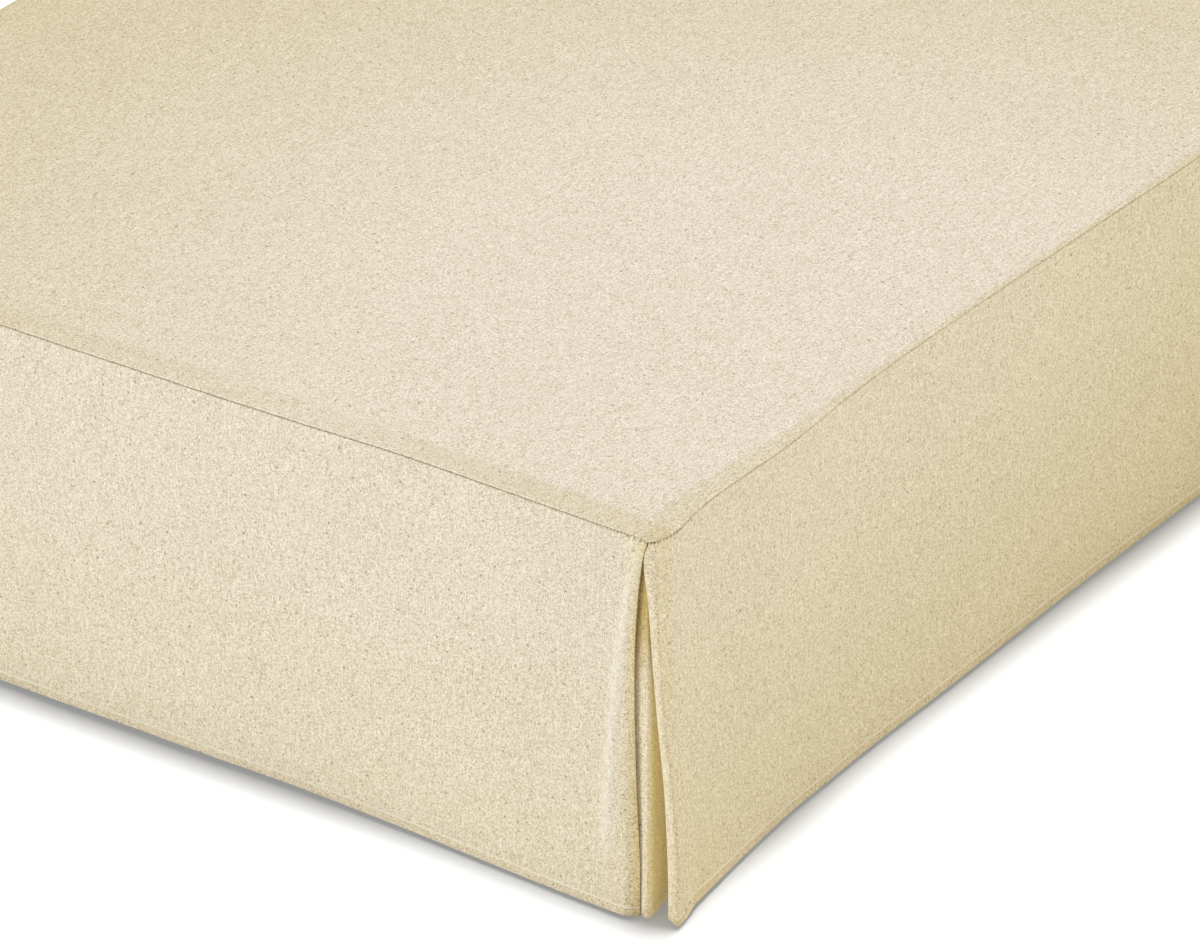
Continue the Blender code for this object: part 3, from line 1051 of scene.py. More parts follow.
class PleatBacking:
    """Backing behind the two leaves of a pleat, bent round the corner of the base."""

    BULGE = 0.0012                 # soft bulge at the corner: height, depth, and reach down and along
    BULGE_DEPTH = 0.075
    BULGE_REACH = (0.022, 0.006)
    BULGE_SIDE = 0.4               # how far it goes sideways, beside how far it goes out
    DENT = 0.0003                  # how deep the topstitching pulls the cloth in
    DENT_WIDTH = 0.0009
    WIDE_SPACING = 0.006
    FINE_SPACING = 0.0008
    CORNER_ROW = 4                 # row of its table at the corner
    FINE_ROWS = (2, 7)             # and those between which its columns are fine
    DARK_TOP = (0.070, 0.140)      # where the painted shade at the top of the backing gives way, down from the seam
    DARK_SIDE = (-0.0030, 0.0100)  # where the painted shade on the side behind the leaf begins and is full, past the corner
    SIDE_GOLD = 0.80               # how strong that painted shade is
    GLOW_SIDE = (-0.0005, 0.0030)  # where the painted glow begins, standing in for light through the leaf in front
    GLOW_DEPTH = (0.075, 0.150)

    def __init__(self, drop: SideDrop) -> None:
        """Take the rows of a drop, so that both share their depths.

        Args:
            drop: A side drop.
        """
        self.shares = drop.depths()
        self.groove = drop.groove.at(0.0)
        corners = [Vector((row.hem_x, row.hem_y)) for row in PLEAT_BACK]
        runs = [0.0]
        for before, after in zip(corners, corners[1:]):
            runs.append(runs[-1] + (after - before).length)
        self.curves = {
            name: Curve([LineRow(run, getattr(row, name)) for run, row in zip(runs, PLEAT_BACK)], "value")
            for name in BackRow._fields
        }
        self.corner_run = runs[self.CORNER_ROW]
        fine_start, fine_end = [runs[row] for row in self.FINE_ROWS]
        wide, fine = self.WIDE_SPACING, self.FINE_SPACING
        self.runs = steps_to(((fine_start, wide), (fine_end, fine), (runs[-1], wide)), 0.0)

    def grid(self, name: str, start: float) -> ClothGrid:
        """Loft the backing at the right foot corner.

        Args:
            name: Name of the sheet.
            start: Its place along the uncut cloth.

        Returns:
            The sheet's grid.
        """
        sheet = ClothGrid(name, runs=list(self.runs))
        for share in self.shares:
            points, depths, heights = [], [], []
            for run in self.runs:
                x = between(self.curves["seam_x"].at(run), self.curves["hem_x"].at(run), share)
                y = between(self.curves["seam_y"].at(run), self.curves["hem_y"].at(run), share)
                top = deck_top(x, y) - ROLL - self.groove - CLOTH
                z = between(top, HEM_CLEARANCE, share)
                bulge = self.BULGE * bell(top - z - self.BULGE_DEPTH, self.BULGE_REACH[0])
                bulge *= bell(run - self.corner_run, self.BULGE_REACH[1])
                dent = self.DENT * bell(z - HEM_CLEARANCE - HEM_BAND, self.DENT_WIDTH)
                world_x = HALF_WIDTH + x + self.BULGE_SIDE * bulge
                points.append(Vector((world_x, FOOT_LINE + y - bulge + dent, z)))
                depths.append(top - z)
                heights.append(z - HEM_CLEARANCE)
            places = [(run - self.corner_run, depth) for run, depth in zip(self.runs, depths)]
            marks = {
                "hem": heights,
                "stitch": [height - HEM_BAND for height in heights],
                "seam": depths,
                # Painted shade at the top of the backing and behind the leaf, and a painted glow standing
                # in for light through the leaf
                "inner": [self.golden(*place) for place in places],
                "glow": [self.glowing(*place) for place in places],
            }
            flat = [(start + run, depth) for run, depth in zip(self.runs, depths)]
            sheet.add_row(points, flat, marks)
        sheet.outer = range(len(self.shares))
        return sheet

    def golden(self, run: float, depth: float) -> float:
        """How strong the painted shade on the backing is at a run past the corner and a depth, from 0 to 1.
        """
        return max(1.0 - eased(depth, *self.DARK_TOP), self.SIDE_GOLD * eased(run, *self.DARK_SIDE))

    def glowing(self, run: float, depth: float) -> float:
        """How strong the painted glow is there, standing in for light through the leaf, from 0 to 1."""
        return eased(run, *self.GLOW_SIDE) * eased(depth, *self.GLOW_DEPTH)

    def right(self) -> ClothGrid:
        """The backing at the right foot corner."""
        return self.grid("right_pleat_canvas", CLOTH_START["right back"])

    def left(self) -> ClothGrid:
        """The backing at the left foot corner."""
        return self.grid("left_pleat_canvas", CLOTH_START["left back"]).turned_round(-1.0)


class DeckPanel:
    """Flat panel on the base: its rim turns down into the seam, and its head end has a narrow hem."""

    ALLOWANCE_STEP = 0.0004
    ONE_LAYER = 0.52           # what one allowance under the deck shows, beside the two at a corner
    FOOT_FAINT = 0.40          # how much of it is left along the foot, away from the corner
    FAINT_REACH = (0.10, 0.30)
    EDGE = 0.002               # half the width over which the allowance's edge shows
    QUIET = (0.02, 0.12)       # distances from the rim between which the ripple comes in
    HEM_DENT = 0.0003          # how deep the topstitching at the head pulls the cloth in
    HEM_DENT_WIDTH = 0.0010
    # Stations from the rim: over its turn, beside it, and by zones of (where each ends, its spacing)
    ARC_SHARES = (0.0, 0.2, 0.4, 0.6, 0.8)
    RIM_PLACES = [0.0026, 0.0036, 0.0050, 0.0070]
    NEAR_START = 0.0090
    NEAR_ZONES = ((0.045, 0.0024), (0.085, 0.0050))
    SPACING = 0.0160
    HEAD_ZONES = ((BED_LENGTH - 0.024, SPACING), (BED_LENGTH - 0.0015, 0.0009), (BED_LENGTH, 0.0005))
    RIPPLE = Ripple(height=0.0005, across=0.27, down=0.33, seed=12.4)

    def __init__(self) -> None:
        """Set out the stations across and along."""
        arc = ROLL * RIM_TURN
        near_end = self.NEAR_ZONES[-1][0]
        rim = [share * arc for share in self.ARC_SHARES] + [arc] + self.RIM_PLACES
        near = rim + steps_to(self.NEAR_ZONES, self.NEAR_START)
        half = near + steps_to(((HALF_WIDTH, self.SPACING),), near_end)[1:]
        self.across = [(-1.0, place) for place in half[:-1]] + [(1.0, place) for place in reversed(half)]
        self.along = near + steps_to(self.HEAD_ZONES, near_end)[1:]
        self.side_allowance = Curve(SIDE_ALLOWANCE, "value")
        self.foot_allowance = Curve(FOOT_ALLOWANCE, "value")

    def turned(self, run: float) -> tuple[float, float]:
        """Turn of the rim.

        Args:
            run: Distance from the rim along the cloth.

        Returns:
            How far in from the seam line, and how far down, the cloth is there.
        """
        angle = RIM_TURN - run / ROLL
        if angle <= 0.0:
            return ROLL + run - ROLL * RIM_TURN, 0.0
        return ROLL * (1.0 - math.sin(angle)), ROLL * (1.0 - math.cos(angle))

    def point(self, side: float, across: float, along: float) -> tuple[Vector, float]:
        """World point of the panel.

        Args:
            side: 1 for the right half, -1 for the left half.
            across: Distance from the side rim along the cloth.
            along: Distance from the foot rim along the cloth.

        Returns:
            The point, and how much of the seam allowance lies under it.
        """
        inset_x, down_x = self.turned(across)
        inset_y, down_y = self.turned(along)
        y = inset_y - FOOT_OUT.at(inset_x) * faded(inset_y, RIM_REACH)
        x = SIDE_OUT.at(y) * faded(inset_x, RIM_REACH) - inset_x
        turned_down = ROLL * (1.0 - (1.0 - down_x / ROLL) * (1.0 - down_y / ROLL))
        side_width = self.side_allowance.at(along)
        foot_width = self.foot_allowance.at(across)
        layers = (
            1.0 - eased(across, side_width - self.EDGE, side_width + self.EDGE),
            1.0 - eased(along, foot_width - self.EDGE, foot_width + self.EDGE),
        )
        from_corner = eased(across, *self.FAINT_REACH)
        shown = (layers[0], layers[1] * between(1.0, self.FOOT_FAINT, from_corner))
        allowance = max(shown) * self.ONE_LAYER + min(shown) * (1.0 - self.ONE_LAYER)
        world_x = side * (HALF_WIDTH + x)
        quiet = eased(min(across, along), *self.QUIET)
        ripple = self.RIPPLE.at(world_x, y) + self.RIPPLE.height
        z = deck_top(x, y) - turned_down + quiet * ripple + self.ALLOWANCE_STEP * max(layers)
        z -= self.HEM_DENT * bell(BED_LENGTH - along - HEM_BAND, self.HEM_DENT_WIDTH)
        return Vector((world_x, FOOT_LINE + y, z)), allowance

    def grid(self) -> ClothGrid:
        """The whole panel.

        Returns:
            The panel's grid, its rows from the head to the foot.
        """
        sheet = ClothGrid("deck_canvas", runs=[side * (HALF_WIDTH - place) for side, place in self.across])
        for along in reversed(self.along):
            points, flat = [], []
            marks: Marks = defaultdict(list)
            for side, across in self.across:
                point, allowance = self.point(side, across, along)
                points.append(point)
                flat.append((CLOTH_START["deck"] + side * (HALF_WIDTH - across), along))
                marks["hem"].append(BED_LENGTH - along)
                marks["stitch"].append(BED_LENGTH - along - HEM_BAND)
                marks["seam"].append(min(across, along))
                marks["allowance"].append(allowance)
            sheet.add_row(points, flat, marks)
        sheet.outer = range(len(self.along))
        return sheet


class StitchWay(Enum):
    """Which way a stitch lies on its line."""

    ALONG = 0.0
    ACROSS = math.pi / 2.0


Socket = bpy.types.NodeSocket
Value = float | tuple | Socket
Inputs = dict[str | int, Value]
NUMBER = "NodeSocketFloat"
PLACE = "NodeSocketVector"


class Tree:
    """Places and links the nodes of one tree."""

    def __init__(self, tree: bpy.types.NodeTree) -> None:
        """Take a material's, a group's or a world's tree, and empty it."""
        self.tree = tree
        tree.nodes.clear()

    def node(self, kind: str, inputs: Inputs | None = None, **settings: object) -> bpy.types.Node:
        """Add a node.

        Args:
            kind: Its type's name.
            inputs: What its inputs get, by name or number: their own value, or a socket to link.
            settings: Its properties.

        Returns:
            The node.
        """
        made = self.tree.nodes.new(kind)
        for name, value in settings.items():
            setattr(made, name, value)
        for name, value in (inputs or {}).items():
            self.feed(made.inputs[name], value)
        return made

    def feed(self, target: Socket, value: Value) -> None:
        """Link a socket to an input, or set the input's own value.

        Args:
            target: The input.
            value: What it gets.
        """
        if isinstance(value, Socket):
            self.tree.links.new(value, target)
        else:
            target.default_value = value

    def math(self, operation: str, *values: Value, clamp: bool = False) -> Socket:
        """Result of a Math node."""
        made = self.node("ShaderNodeMath", dict(enumerate(values)), operation=operation, use_clamp=clamp)
        return made.outputs[0]

    def times(self, *values: Value) -> Socket:
        """Product of two values."""
        return self.math("MULTIPLY", *values)

    def step(self, value: Value, start: Value, end: Value) -> Socket:
        """Soft step from zero at start to one at end."""
        inputs = {"Value": value, "From Min": start, "From Max": end}
        return self.node("ShaderNodeMapRange", inputs, interpolation_type="SMOOTHSTEP").outputs["Result"]

    def mix(self, factor: Value, first: Value, second: Value, blend: str = "MIX") -> Socket:
        """Mix two colours.

        Args:
            factor: Share of the second.
            first: The first.
            second: The second.
            blend: How the second goes over the first.

        Returns:
            The colour.
        """
        made = self.node("ShaderNodeMix", {"Factor": factor}, data_type="RGBA", blend_type=blend)
        colors = [socket for socket in made.inputs if socket.type == "RGBA"]
        self.feed(colors[0], first)
        self.feed(colors[1], second)
        return [socket for socket in made.outputs if socket.type == "RGBA"][0]

    def noise(self, place: Value, scale: Value, detail: float = 1.0, roughness: float = 0.5) -> Socket:
        """Noise about zero.

        Args:
            place: Where it is read.
            scale: How fine it is.
            detail: Its finer layers.
            roughness: How strong those are.

        Returns:
            The value, from -0.5 to 0.5.
        """
        inputs = {"Vector": place, "Scale": scale, "Detail": detail, "Roughness": roughness}
        made = self.node("ShaderNodeTexNoise", inputs, noise_dimensions="3D")
        return self.math("SUBTRACT", made.outputs["Fac"], 0.5)

    def split(self, place: Value) -> Sequence[Socket]:
        """X, Y and Z of a place."""
        return self.node("ShaderNodeSeparateXYZ", {0: place}).outputs

    def joined(self, x: Value = 0.0, y: Value = 0.0, z: Value = 0.0) -> Socket:
        """Place from its X, Y and Z."""
        return self.node("ShaderNodeCombineXYZ", {0: x, 1: y, 2: z}).outputs[0]

    def mark(self, name: str) -> Socket:
        """Value of one of the sheet's marks."""
        return self.node("ShaderNodeAttribute", attribute_name=name).outputs["Fac"]

    def group(self, tree: bpy.types.NodeTree, **values: Value) -> bpy.types.Node:
        """Use a node group; the names of its inputs are in lower case here."""
        inputs = {name.capitalize(): value for name, value in values.items()}
        return self.node("ShaderNodeGroup", inputs, node_tree=tree)


GroupStart = tuple[Tree, dict[str, Socket], bpy.types.Node]


class Effects:
    """Node groups of the effects that several finishes share, each built once."""

    WARP_SHARE = 0.50          # shares in the grain's tone: the two yarns, and soft clouds over them
    WEFT_SHARE = 0.40
    CLOUD_SHARE = 0.12
    CLOUD_SIZE = 2.6           # in yarns
    SLUB_SIZE = (1.8, 18.0)    # width and height, in yarns
    DARK_POWER = 7.0           # how few the dark floats are
    WEAVE_HEIGHT = 0.25
    LAYER = {"warp": 0.5, "weft": 7.5, "dark": 13.5, "cloud": 3.3, "slub": 21.1}  # keeps patterns apart
    FLECK_CORE = 0.4           # share of a fleck's radius that is fully dark
    DASH = (0.34, 0.22)        # reach of a needle mark to either side, in stitches, and of its full part

    def __init__(self) -> None:
        """Build the groups."""
        self.grain = self.canvas_grain()
        self.flecks = self.seed_flecks()
        self.mottle = self.soft_mottle()
        self.marks = self.stitch_marks()

    @staticmethod
    def start(name: str, inputs: dict[str, str], outputs: Sequence[str]) -> GroupStart:
        """Begin a group.

        Args:
            name: Name of the group.
            inputs: Socket kind of each input.
            outputs: Names of the outputs, all plain numbers.

        Returns:
            The tree, the group's own inputs, and its output node.
        """
        tree = bpy.data.node_groups.new(name, "ShaderNodeTree")
        for label, kind in inputs.items():
            tree.interface.new_socket(label, in_out="INPUT", socket_type=kind)
        for label in outputs:
            tree.interface.new_socket(label, in_out="OUTPUT", socket_type=NUMBER)
        nodes = Tree(tree)
        entry = nodes.node("NodeGroupInput")
        leaving = nodes.node("NodeGroupOutput")
        return nodes, {label: entry.outputs[label] for label in inputs}, leaving

    def canvas_grain(self) -> bpy.types.NodeTree:
        """Yarns of a plain weave, each float of its own tone.

        Returns:
            The group: from a place and the yarn's measures to a tone about zero and a height for the bump.
        """
        measures = dict.fromkeys(("Yarn", "Length", "Weave", "Slub", "Speck"), NUMBER)
        nodes, given, out = self.start("canvas grain", {"Place": PLACE, **measures}, ("Tone", "Height"))
        along, down, _ = nodes.split(given["Place"])
        yarn = given["Yarn"]

        def cells(wide: Value, tall: Value, layer: str) -> Socket:
            """Place counted in cells of a width and a height."""
            x, y = nodes.math("DIVIDE", along, wide), nodes.math("DIVIDE", down, tall)
            return nodes.joined(x, y, self.LAYER[layer])

        def floats(wide: Value, tall: Value, layer: str) -> Socket:
            """Chance tone of each cell.

            Args:
                wide: Width of a cell.
                tall: Its height.
                layer: Which pattern it is for.

            Returns:
                The tone, from 0 to 1.
            """
            whole = nodes.node("ShaderNodeVectorMath", {0: cells(wide, tall, layer)}, operation="FLOOR")
            inputs = {"Vector": whole.outputs["Vector"]}
            return nodes.node("ShaderNodeTexWhiteNoise", inputs, noise_dimensions="3D").outputs["Value"]

        long_yarn = nodes.times(yarn, given["Length"])
        warp = nodes.math("SUBTRACT", floats(yarn, long_yarn, "warp"), 0.5)
        weft = nodes.math("SUBTRACT", floats(long_yarn, yarn, "weft"), 0.5)
        dark = nodes.math("POWER", floats(yarn, long_yarn, "dark"), self.DARK_POWER)
        cloud_size = nodes.times(yarn, self.CLOUD_SIZE)
        cloud = nodes.noise(cells(cloud_size, cloud_size, "cloud"), 1.0, detail=2.0, roughness=0.6)
        slub_wide, slub_tall = [nodes.times(yarn, size) for size in self.SLUB_SIZE]
        slub = nodes.times(nodes.noise(cells(slub_wide, slub_tall, "slub"), 1.0), given["Slub"])
        tone = nodes.math("MULTIPLY_ADD", warp, self.WARP_SHARE, nodes.times(weft, self.WEFT_SHARE))
        tone = nodes.math("ADD", tone, nodes.math("MULTIPLY_ADD", cloud, self.CLOUD_SHARE, slub))
        tone = nodes.math("SUBTRACT", tone, nodes.times(dark, given["Speck"]))
        turns = nodes.math("DIVIDE", 2.0 * math.pi, given["Weave"])
        weave = nodes.times(*[nodes.math("SINE", nodes.times(way, turns)) for way in (along, down)])
        soft = nodes.math("ADD", cloud, slub)
        nodes.feed(out.inputs["Tone"], tone)
        nodes.feed(out.inputs["Height"], nodes.math("MULTIPLY_ADD", weave, self.WEAVE_HEIGHT, soft))
        return nodes.tree

    def seed_flecks(self) -> bpy.types.NodeTree:
        """Small dark specks of cotton seed, a few to the hand's breadth.

        Returns:
            The group: from a place and the flecks' measures to a mask.
        """
        measures = dict.fromkeys(("Spacing", "Size", "Share"), NUMBER)
        nodes, given, out = self.start("seed flecks", {"Place": PLACE, **measures}, ("Mask",))
        many = nodes.math("DIVIDE", 1.0, given["Spacing"])
        scaled = nodes.node("ShaderNodeVectorMath", {0: given["Place"], "Scale": many}, operation="SCALE")
        inputs = {"Vector": scaled.outputs[0], "Scale": 1.0}
        cells = nodes.node("ShaderNodeTexVoronoi", inputs, voronoi_dimensions="2D", feature="F1")
        chances = nodes.node("ShaderNodeSeparateColor", {0: cells.outputs["Color"]}).outputs
        picked = nodes.math("LESS_THAN", chances[0], given["Share"])
        radius = nodes.times(nodes.math("DIVIDE", given["Size"], given["Spacing"]), chances[1])
        spot = nodes.step(cells.outputs["Distance"], radius, nodes.times(radius, self.FLECK_CORE))
        nodes.feed(out.inputs["Mask"], nodes.times(spot, picked))
        return nodes.tree

    def soft_mottle(self) -> bpy.types.NodeTree:
        """Slow unevenness of the undyed cloth.

        Returns:
            The group: from a place and the spots' size to a tone about zero.
        """
        nodes, given, out = self.start("soft mottle", {"Place": PLACE, "Size": NUMBER}, ("Tone",))
        scale = nodes.math("DIVIDE", 1.0, given["Size"])
        nodes.feed(out.inputs["Tone"], nodes.noise(given["Place"], scale, detail=3.0, roughness=0.55))
        return nodes.tree

    def stitch_marks(self) -> bpy.types.NodeTree:
        """Row of needle marks along a line of stitching.

        Returns:
            The group: from places along and across the line, and the marks' measures, to a mask.
        """
        measures = dict.fromkeys(("Run", "Across", "Pitch", "Width"), NUMBER)
        nodes, given, out = self.start("stitch marks", measures, ("Mask",))
        beat = nodes.math("FRACT", nodes.math("DIVIDE", given["Run"], given["Pitch"]))
        dash = nodes.step(nodes.math("ABSOLUTE", nodes.math("SUBTRACT", beat, 0.5)), *self.DASH)
        line = nodes.step(nodes.math("ABSOLUTE", given["Across"]), given["Width"], 0.0)
        nodes.feed(out.inputs["Mask"], nodes.times(dash, line))
        return nodes.tree


Color = tuple[float, float, float]
MaterialStart = tuple[bpy.types.Material, Tree, bpy.types.Node]
WHITE: Color = (1.0, 1.0, 1.0)
BLACK: Color = (0.0, 0.0, 0.0)


def solid(color: Color) -> tuple[float, float, float, float]:
    """The colour with full opacity."""
    return (*color, 1.0)


def new_material(name: str, roughness: float, sheen: float, specular: float) -> MaterialStart:
    """Start a material with one Principled BSDF.

    Args:
        name: Name of the material.
        roughness: Its roughness.
        sheen: Weight of its sheen.
        specular: Level of its specular reflection.

    Returns:
        The material, its tree, and its shader.
    """
    material = bpy.data.materials.new(name)
    material.use_nodes = True
    nodes = Tree(material.node_tree)
    inputs = {"Roughness": roughness, "Sheen Weight": sheen, "Specular IOR Level": specular}
    shader = nodes.node("ShaderNodeBsdfPrincipled", inputs)
    nodes.node("ShaderNodeOutputMaterial", {"Surface": shader.outputs[0]})
    return material, nodes, shader


def bump(nodes: Tree, shader: bpy.types.Node, height: Socket, strength: float, distance: float) -> None:
    """Feed a height to the shader's normal; the distance is what a height of one stands for."""
    made = nodes.node("ShaderNodeBump", {"Strength": strength, "Distance": distance, "Height": height})
    nodes.feed(shader.inputs["Normal"], made.outputs["Normal"])


@dataclass(frozen=True)
class CanvasFinish:
    """Undyed cotton canvas: yarns, seed flecks, hem band, seam allowance, and painted highlights on folds,
    creases and ridges.

    The tints multiply the cloth's colour: painted shade towards the hem, a painted falloff of the light
    away from its palest place, the hem band, the seam allowance, painted shade along the seam and painted
    shade inside folds and hollows.
    """

    LOWER_REACH = (0.02, DROP_LENGTH)        # depths between which the painted shade towards the hem comes in
    BAND_EDGE = (0.0006, -0.0006)            # places across the stitching where the hem's tint comes in
    SEAM_EDGE = (0.0012, 0.0002)             # and distances from the seam for the painted shade along it
    # Places across the stitching where the painted highlight on the hem band's ridge comes in, and how
    # strong the painted highlight on folds, creases and ridges is
    RIDGE_EDGE = (0.0013, 0.0005)
    WORN_SHARE = 0.36
    FLECKS = {"spacing": 0.0120, "size": 0.0017, "share": 0.42}
    FLECK_SHARE = 0.75
    HEM_HOLES = {"pitch": LOOSE_STITCH, "width": 0.0018}
    SEAM_HOLE_WIDTH = 0.0030
    HOLE_SHARE = 0.95
    MOTTLE_SIZE = 0.11
    ROUGH_RANGE = 0.10

    name: str
    color: Color
    # Painted shade: darker and yellower towards the hem
    lower_tint: Color = WHITE
    # Painted falloff of the light: darker and yellower away from the palest place, over the reach
    far_tint: Color = WHITE
    palest: tuple[float, float, float] = (0.0, 0.0, 0.0)
    pale_reach: tuple[float, float] = (0.40, 1.50)
    # Painted glow: emission that stands in for light coming through the leaf
    glow: Color = BLACK
    hem_tint: Color = (0.985, 0.965, 0.925)
    allowance_tint: Color = (0.880, 0.838, 0.690)
    # Painted shade along the seam's groove
    seam_tint: Color = (0.970, 0.940, 0.880)
    # Painted shade inside folds, on the leaf's roll and facet, in creases and in the backing's hollows
    inner_tint: Color = (1.000, 0.890, 0.560)
    fleck_color: Color = (0.300, 0.220, 0.110)
    hole_color: Color = (0.200, 0.140, 0.070)
    # Colour of the painted highlight on folds, creases and ridges
    worn_color: Color = (0.960, 0.930, 0.850)
    tone_by_channel: Color = (0.86, 1.00, 1.32)
    stitch: float = SEAM_STITCH
    contrast: float = 0.64
    yarn: float = 0.00100
    length: float = 1.15
    weave: float = 0.00055
    slub: float = 0.42
    speck: float = 0.55
    mottle: float = 0.05
    roughness: float = 0.88

    def material(self, effects: Effects) -> bpy.types.Material:
        """Build the material.

        Args:
            effects: The shared node groups.

        Returns:
            The canvas.
        """
        material, nodes, shader = new_material(self.name, self.roughness, sheen=0.04, specular=0.15)
        place = nodes.node("ShaderNodeUVMap", uv_map="cloth").outputs["UV"]
        measures = {name: getattr(self, name) for name in ("yarn", "length", "weave", "slub", "speck")}
        grain = nodes.group(effects.grain, place=place, **measures)
        tone = nodes.times(grain.outputs["Tone"], self.contrast)
        mottle = nodes.group(effects.mottle, place=place, size=self.MOTTLE_SIZE)
        tone = nodes.math("MULTIPLY_ADD", mottle.outputs["Tone"], self.mottle, tone)
        channels = [nodes.math("MULTIPLY_ADD", tone, share, 1.0) for share in self.tone_by_channel]
        shade = nodes.node("ShaderNodeCombineColor", dict(enumerate(channels)))
        color = nodes.mix(1.0, self.cloth_color(nodes, place), shade.outputs[0], "MULTIPLY")
        nodes.feed(shader.inputs["Base Color"], self.marked_color(nodes, effects, place, color))
        # Painted light: emission on the backing stands in for light coming through the leaf in front
        if any(self.glow):
            glow_color = nodes.mix(nodes.mark("glow"), solid(BLACK), solid(self.glow))
            nodes.feed(shader.inputs["Emission Color"], glow_color)
            shader.inputs["Emission Strength"].default_value = 1.0
        height = grain.outputs["Height"]
        rough = nodes.math("MULTIPLY_ADD", height, self.ROUGH_RANGE, self.roughness)
        nodes.feed(shader.inputs["Roughness"], rough)
        bump(nodes, shader, height, strength=0.25, distance=0.00020)
        return material

    def cloth_color(self, nodes: Tree, place: Socket) -> Socket:
        """Slow changes of the cloth's colour, painted shade and a painted falloff of the light among them.

        Args:
            nodes: The material's tree.
            place: Place on the flat cloth.

        Returns:
            The colour before its grain.
        """
        apart = nodes.node("ShaderNodeVectorMath", {0: place, 1: self.palest}, operation="DISTANCE")
        # Painted shade towards the hem, painted falloff of the light, hem band, seam allowance, painted
        # shade along the seam and in folds
        tints = (
            (nodes.step(nodes.split(place)["Y"], *self.LOWER_REACH), self.lower_tint),
            (nodes.step(apart.outputs["Value"], *self.pale_reach), self.far_tint),
            (nodes.step(nodes.mark("stitch"), *self.BAND_EDGE), self.hem_tint),
            (nodes.mark("allowance"), self.allowance_tint),
            (nodes.step(nodes.mark("seam"), *self.SEAM_EDGE), self.seam_tint),
            (nodes.mark("inner"), self.inner_tint),
        )
        color = solid(self.color)
        for share, tint in tints:
            color = nodes.mix(share, color, solid(tint), "MULTIPLY")
        return color

    def marked_color(self, nodes: Tree, effects: Effects, place: Socket, color: Socket) -> Socket:
        """Put seed flecks, needle holes and painted highlights on folds, creases and the hem band's ridge
        on the colour.

        Args:
            nodes: The material's tree.
            effects: The shared node groups.
            place: Place on the flat cloth.
            color: The cloth's colour with its grain.

        Returns:
            The colour with its marks.
        """
        run, across, seam = nodes.split(place)["X"], nodes.mark("stitch"), nodes.mark("seam")
        flecks = nodes.group(effects.flecks, place=place, **self.FLECKS)
        # Painted highlight on the ridge along the hem's topstitching, and on folds and creases
        ridge = nodes.step(nodes.math("ABSOLUTE", across), *self.RIDGE_EDGE)
        highlight_share = nodes.math("MAXIMUM", nodes.mark("press"), ridge)
        hem_holes = nodes.group(effects.marks, run=run, across=across, **self.HEM_HOLES)
        seam_holes = nodes.group(
            effects.marks, run=run, across=seam, pitch=self.stitch, width=self.SEAM_HOLE_WIDTH
        )
        holes = nodes.math("MAXIMUM", hem_holes.outputs["Mask"], seam_holes.outputs["Mask"])
        layers = (
            (flecks.outputs["Mask"], self.FLECK_SHARE, self.fleck_color),
            (highlight_share, self.WORN_SHARE, self.worn_color),
            (nodes.times(holes, nodes.mark("holes")), self.HOLE_SHARE, self.hole_color),
        )
        for mask, share, tone in layers:
            color = nodes.mix(nodes.times(mask, share), color, solid(tone))
        return color


@dataclass(frozen=True)
class ThreadFinish:
    """Two-ply cotton sewing thread."""

    PLY_SIZE = 0.0011

    name: str
    color: Color
    light: Color = (0.93, 0.89, 0.78)
    roughness: float = 0.75

    def material(self, effects: Effects) -> bpy.types.Material:
        """Build the material.

        Args:
            effects: The shared node groups.

        Returns:
            The thread.
        """
        material, nodes, shader = new_material(self.name, self.roughness, sheen=0.15, specular=0.3)
        place = nodes.node("ShaderNodeTexCoord").outputs["Object"]
        tone = nodes.group(effects.mottle, place=place, size=self.PLY_SIZE).outputs["Tone"]
        color = nodes.mix(nodes.math("ADD", tone, 0.5), solid(self.color), solid(self.light))
        nodes.feed(shader.inputs["Base Color"], color)
        bump(nodes, shader, tone, strength=0.3, distance=0.0001)
        return material


@dataclass(frozen=True)
class CoverFinish:
    """Plain woven cover of the bed base."""

    GRAIN = {"yarn": 0.0014, "length": 1.6, "weave": 0.0007, "slub": 0.35, "speck": 0.3}
    MOTTLE_SIZE = 0.14
    MOTTLE_SHARE = 0.5
    CONTRAST = 0.6

    name: str
    color: Color
    light: Color = (0.70, 0.68, 0.63)
    roughness: float = 0.92

    def material(self, effects: Effects) -> bpy.types.Material:
        """Build the material; the weave is wrapped round the base's edges.

        Args:
            effects: The shared node groups.

        Returns:
            The base's cover.
        """
        material, nodes, shader = new_material(self.name, self.roughness, sheen=0.12, specular=0.2)
        own = nodes.node("ShaderNodeTexCoord").outputs["Object"]
        x, y, z = nodes.split(own)
        place = nodes.joined(nodes.math("ADD", x, y), nodes.math("SUBTRACT", z, y))
        grain = nodes.group(effects.grain, place=place, **self.GRAIN)
        mottle = nodes.group(effects.mottle, place=own, size=self.MOTTLE_SIZE).outputs["Tone"]
        tone = nodes.math("MULTIPLY_ADD", mottle, self.MOTTLE_SHARE, grain.outputs["Tone"])
        share = nodes.math("MULTIPLY_ADD", tone, self.CONTRAST, 0.5, clamp=True)
        nodes.feed(shader.inputs["Base Color"], nodes.mix(share, solid(self.color), solid(self.light)))
        bump(nodes, shader, grain.outputs["Height"], strength=0.5, distance=0.0003)
        return material


